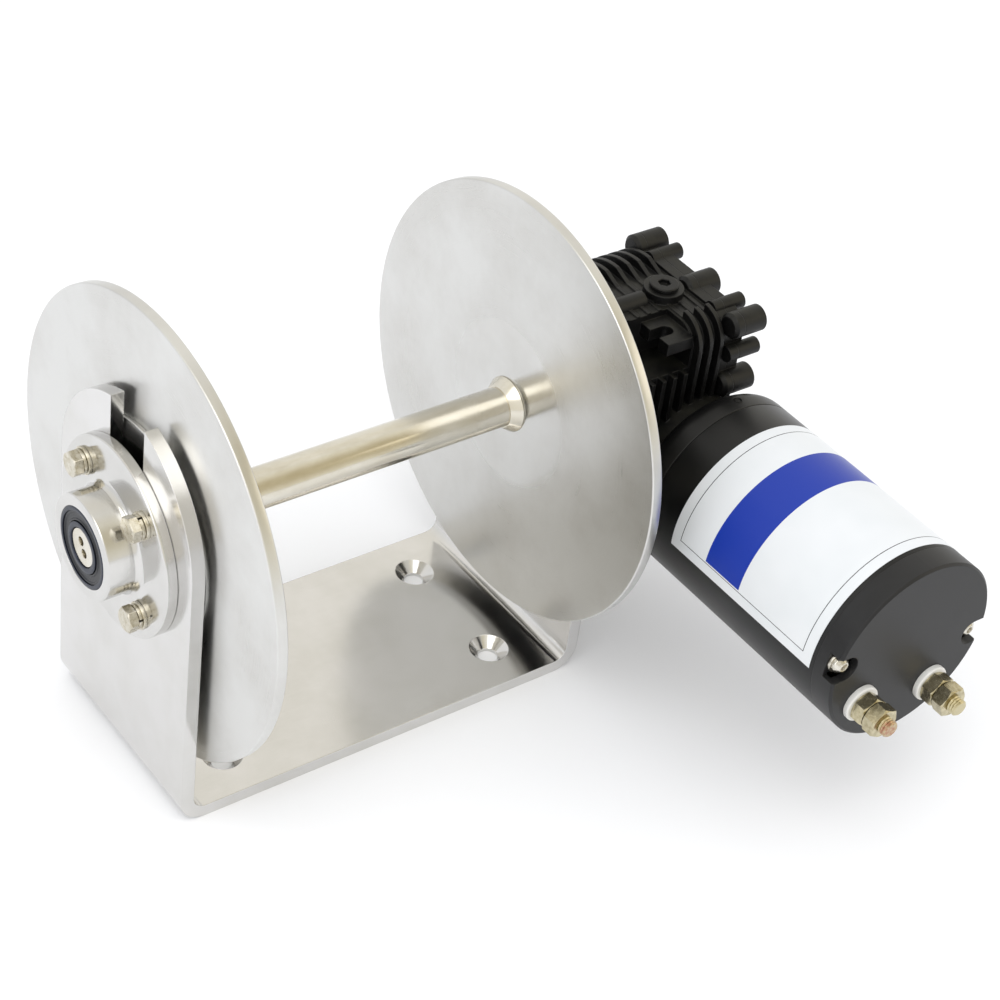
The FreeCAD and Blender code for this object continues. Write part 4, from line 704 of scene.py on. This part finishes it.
# ---- terminals: brass studs under a yellowish plating that has rubbed through to copper red on one
# tip, each through a white nylon bush, with a fixing nut and a cable nut.
def threaded(centre, low, high, radius, pitch, thread_depth, count=64):
    """A threaded rod's free end: the radius falls by the thread depth times a triangle wave of the
    place along the axis less the share of a turn, and fades into a point chamfer."""
    point, step = 0.8, 0.12
    angle = np.linspace(0, 2 * np.pi, count, endpoint=False)[:, None]
    distance = np.linspace(low, high, int((high - low) / step))[None]
    wave = np.abs(2 * np.mod(distance / pitch - angle / (2 * np.pi), 1) - 1)
    limit = radius - np.clip(distance - (high - point), 0, None)
    reach = np.minimum(radius - thread_depth * wave, limit)
    reach = np.concatenate([np.zeros((count, 1)), reach, np.zeros((count, 1))], axis=1)
    distance = np.concatenate([distance[:, :1], distance, distance[:, -1:]], axis=1)
    distance = np.broadcast_to(distance, reach.shape)
    grid = laid_along("-y", distance, reach * np.cos(angle), reach * np.sin(angle), centre)
    return sheet_of(grid, close_v=False)


def rubbed_plating(name):
    """Yellowish plating, worn to copper red in patches: the share of copper is the rise of the noise
    times the rise past the cable nut, on the left stud alone."""
    made, tree, base, place = shader(name, Metallic=1.0)
    parts = add(tree, "SeparateXYZ", Vector=place)
    past_nut = rise(tree, parts.outputs["Y"], -0.2060, -0.2080)
    left_stud = rise(tree, parts.outputs["X"], 0.150, 0.148)
    patches = rise(tree, stretched_noise(tree, place, (1.6,) * 3), 0.35, 0.6)
    worn = maths(tree, "MULTIPLY", past_nut, maths(tree, "MULTIPLY", left_stud, patches))
    feed(tree, base,
         Base_Color=mixed(tree, worn, linear("#C4BA98"), linear("#AD7F69")),
         Roughness=spread(tree, stretched_noise(tree, place, (1.0,) * 3), 0.22, 0.42))
    return made


plated = bright_hardware("yellow_plated_brass", "#C9C0A2", "#A99F80", (0.16, 0.3))
nylon = moulded("moulded_white_nylon", "#D5D3CC", "#E4E3DE", 0.38, 0.8, 0.12)
rubbed = rubbed_plating("plating_rubbed_to_copper")
stud_circle_r, stud_r, stud_head_r, stud_head_thick, nut_bore_r = 30.0, 4.0, 6.0, 2.6, 3.6
cap_wall = 4.0
collar_thick, nut_thick, nut_gap, nut_flats = 2.6, 6.4, 0.4, 13.0
stud_end = -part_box("terminal_studs")[0][1] / MM
inner = cap_face - cap_wall - collar_thick
outer = cap_face + collar_thick
cable_foot = outer + nut_thick + nut_gap
stud_head_back = inner - stud_head_thick
stud_head = np.array([(stud_head_back, 0.0), (stud_head_back, stud_head_r), (inner, stud_head_r),
                      (inner, 0.0)])
collar = rounded([(inner, nut_bore_r), (inner, 6.5), (inner + collar_thick, 6.5),
                  (inner + collar_thick, 5.5), (cap_face, 5.5), (cap_face, 8.5), (outer, 8.5),
                  (outer, nut_bore_r)], [0, 0, 0, 0, 0, 0.2, 0.7, 0.2], 5)
studs, insulators, fixing_nuts, cable_nuts = [], [], [], []
for i, a in enumerate((math.radians(-145), math.radians(-55))):
    centre = MOTOR + (stud_circle_r * math.cos(a), 0, stud_circle_r * math.sin(a))
    studs.append(threaded(centre, inner, stud_end, stud_r, pitch=1.25, thread_depth=0.45))
    studs.append(revolve(stud_head, centre, "-y", 32))
    insulators.append(revolve(collar, centre, "-y", 96))
    for nuts, foot, first_turn in ((fixing_nuts, outer, 22), (cable_nuts, cable_foot, 35)):
        nuts.append(hexagon_block(centre, "-y", nut_flats, foot, foot + nut_thick, nut_bore_r,
                                  math.radians(first_turn + 17 * i)))
piece("threaded_terminal_studs", studs, "frame", rubbed, ["terminal_studs"],
      sharp=30)
piece("nylon_terminal_bushes", insulators, "frame", nylon, ["terminal_insulators"])
piece("fixing_nuts", fixing_nuts, "frame", plated, ["terminal_inner_nuts"],
      sharp=24)
piece("cable_nuts", cable_nuts, "frame", plated, ["terminal_outer_nuts"],
      sharp=24)


# ---- inner works: what the covers hide, in its own finishes. Bronze bushes and wheel, ground steel
# shaft and worm, copper windings, pressed core plates, ferrite magnets, carbon brushes on a laminate
# board.
machined = even_metal("machined_steel", "#8A8A88", "#B2B2AE", 0.3)
bronze = even_metal("cast_bronze", "#8F6A38", "#B78B4E", 0.34)
copper = even_metal("enamelled_copper", "#8A4424", "#B8683C", 0.38)
ferrite = moulded("sintered_ferrite", "#232326", "#303034", 0.6)
board = moulded("laminate_board", "#5A3B1E", "#6E4A28", 0.5)
for material, names in (
        (machined, ("drive_key", "output_sleeve", "worm", "armature_shaft", "armature_core",
                    "brush_springs")),
        (bronze, ("worm_wheel", "output_bush_inner", "output_bush_outer", "motor_front_bush",
                  "motor_rear_bush", "worm_rear_bush")),
        (copper, ("armature_windings", "commutator")),
        (ferrite, ("field_magnets", "brushes")),
        (board, ("brush_plate",)),
        (seal_rubber, ("output_seal",)),
        (bolt_steel, ("spindle_end_screw", "spindle_end_washer"))):
    for name in names:
        wear(name, material)


# ---- studio: a plain pale floor that keeps the soft shadow, a white surround whose reflection warms
# towards the front right, and three large soft lamps.
floor_material, _, floor_base, _ = shader("matt_white_floor", Roughness=0.9)
floor_base.inputs["Base Color"].default_value = linear("#F7F7F7")
floor_mesh = bpy.data.meshes.new("studio_floor")
reach = 6.0
floor_mesh.from_pydata([(-reach, -reach, 0), (reach, -reach, 0), (reach, reach, 0), (-reach, reach, 0)],
                       [], [(0, 1, 2, 3)])
floor = bpy.data.objects.new("studio_floor", floor_mesh)
floor_mesh.materials.append(floor_material)
bpy.context.collection.objects.link(floor)

world = bpy.data.worlds.new("studio")
bpy.context.scene.world = world
world.use_nodes = True
sky = world.node_tree
background = sky.nodes["Background"]
path = add(sky, "LightPath")
direction = add(sky, "TexCoord").outputs["Generated"]
warm_side = (0.52, -0.62, 0.59)
towards = add(sky, "VectorMath", {"operation": "DOT_PRODUCT"}, _0=direction, _1=warm_side)
glow = ramp(sky, rise(sky, towards.outputs["Value"], -1.0, 1.0),
            [(0.0, "#F2F4F8"), (0.45, "#FAF8F2"), (0.68, "#FAF6EC"), (0.82, "#FBF8F0"),
             (0.92, "#F0EAD8"), (1.0, "#CABF9E")])
lit = mixed(sky, path.outputs["Is Glossy Ray"], linear("#FCFDFF"), glow)
feed(sky, background,
     Color=mixed(sky, path.outputs["Is Camera Ray"], lit, linear("#FFFFFF")),
     Strength=spread(sky, path.outputs["Is Camera Ray"], 1.08, 1.0))


def lamp(name, place, target, size, watts, colour="#FFFFFF"):
    """A square soft lamp aimed at a point."""
    light = bpy.data.lights.new(name, "AREA")
    light.energy = watts
    light.size = size
    light.color = linear(colour)[:3]
    made = bpy.data.objects.new(name, light)
    place, target = Vector(place), Vector(target)
    aim = (place - target).to_track_quat("Z", "Y").to_matrix().to_4x4()
    made.matrix_world = Matrix.Translation(place) @ aim
    bpy.context.collection.objects.link(made)


lamp("high_soft_lamp", (-0.6, -0.5, 1.6), (0.03, -0.05, 0.1), 1.2, 7.0)
lamp("left_soft_lamp", (-1.5, -0.2, 0.7), (0.0, 0.0, 0.12), 0.9, 3.0, "#F4F6FF")
lamp("right_soft_lamp", (1.2, -1.0, 0.9), (0.1, -0.1, 0.1), 0.8, 2.0, "#FFF6E8")
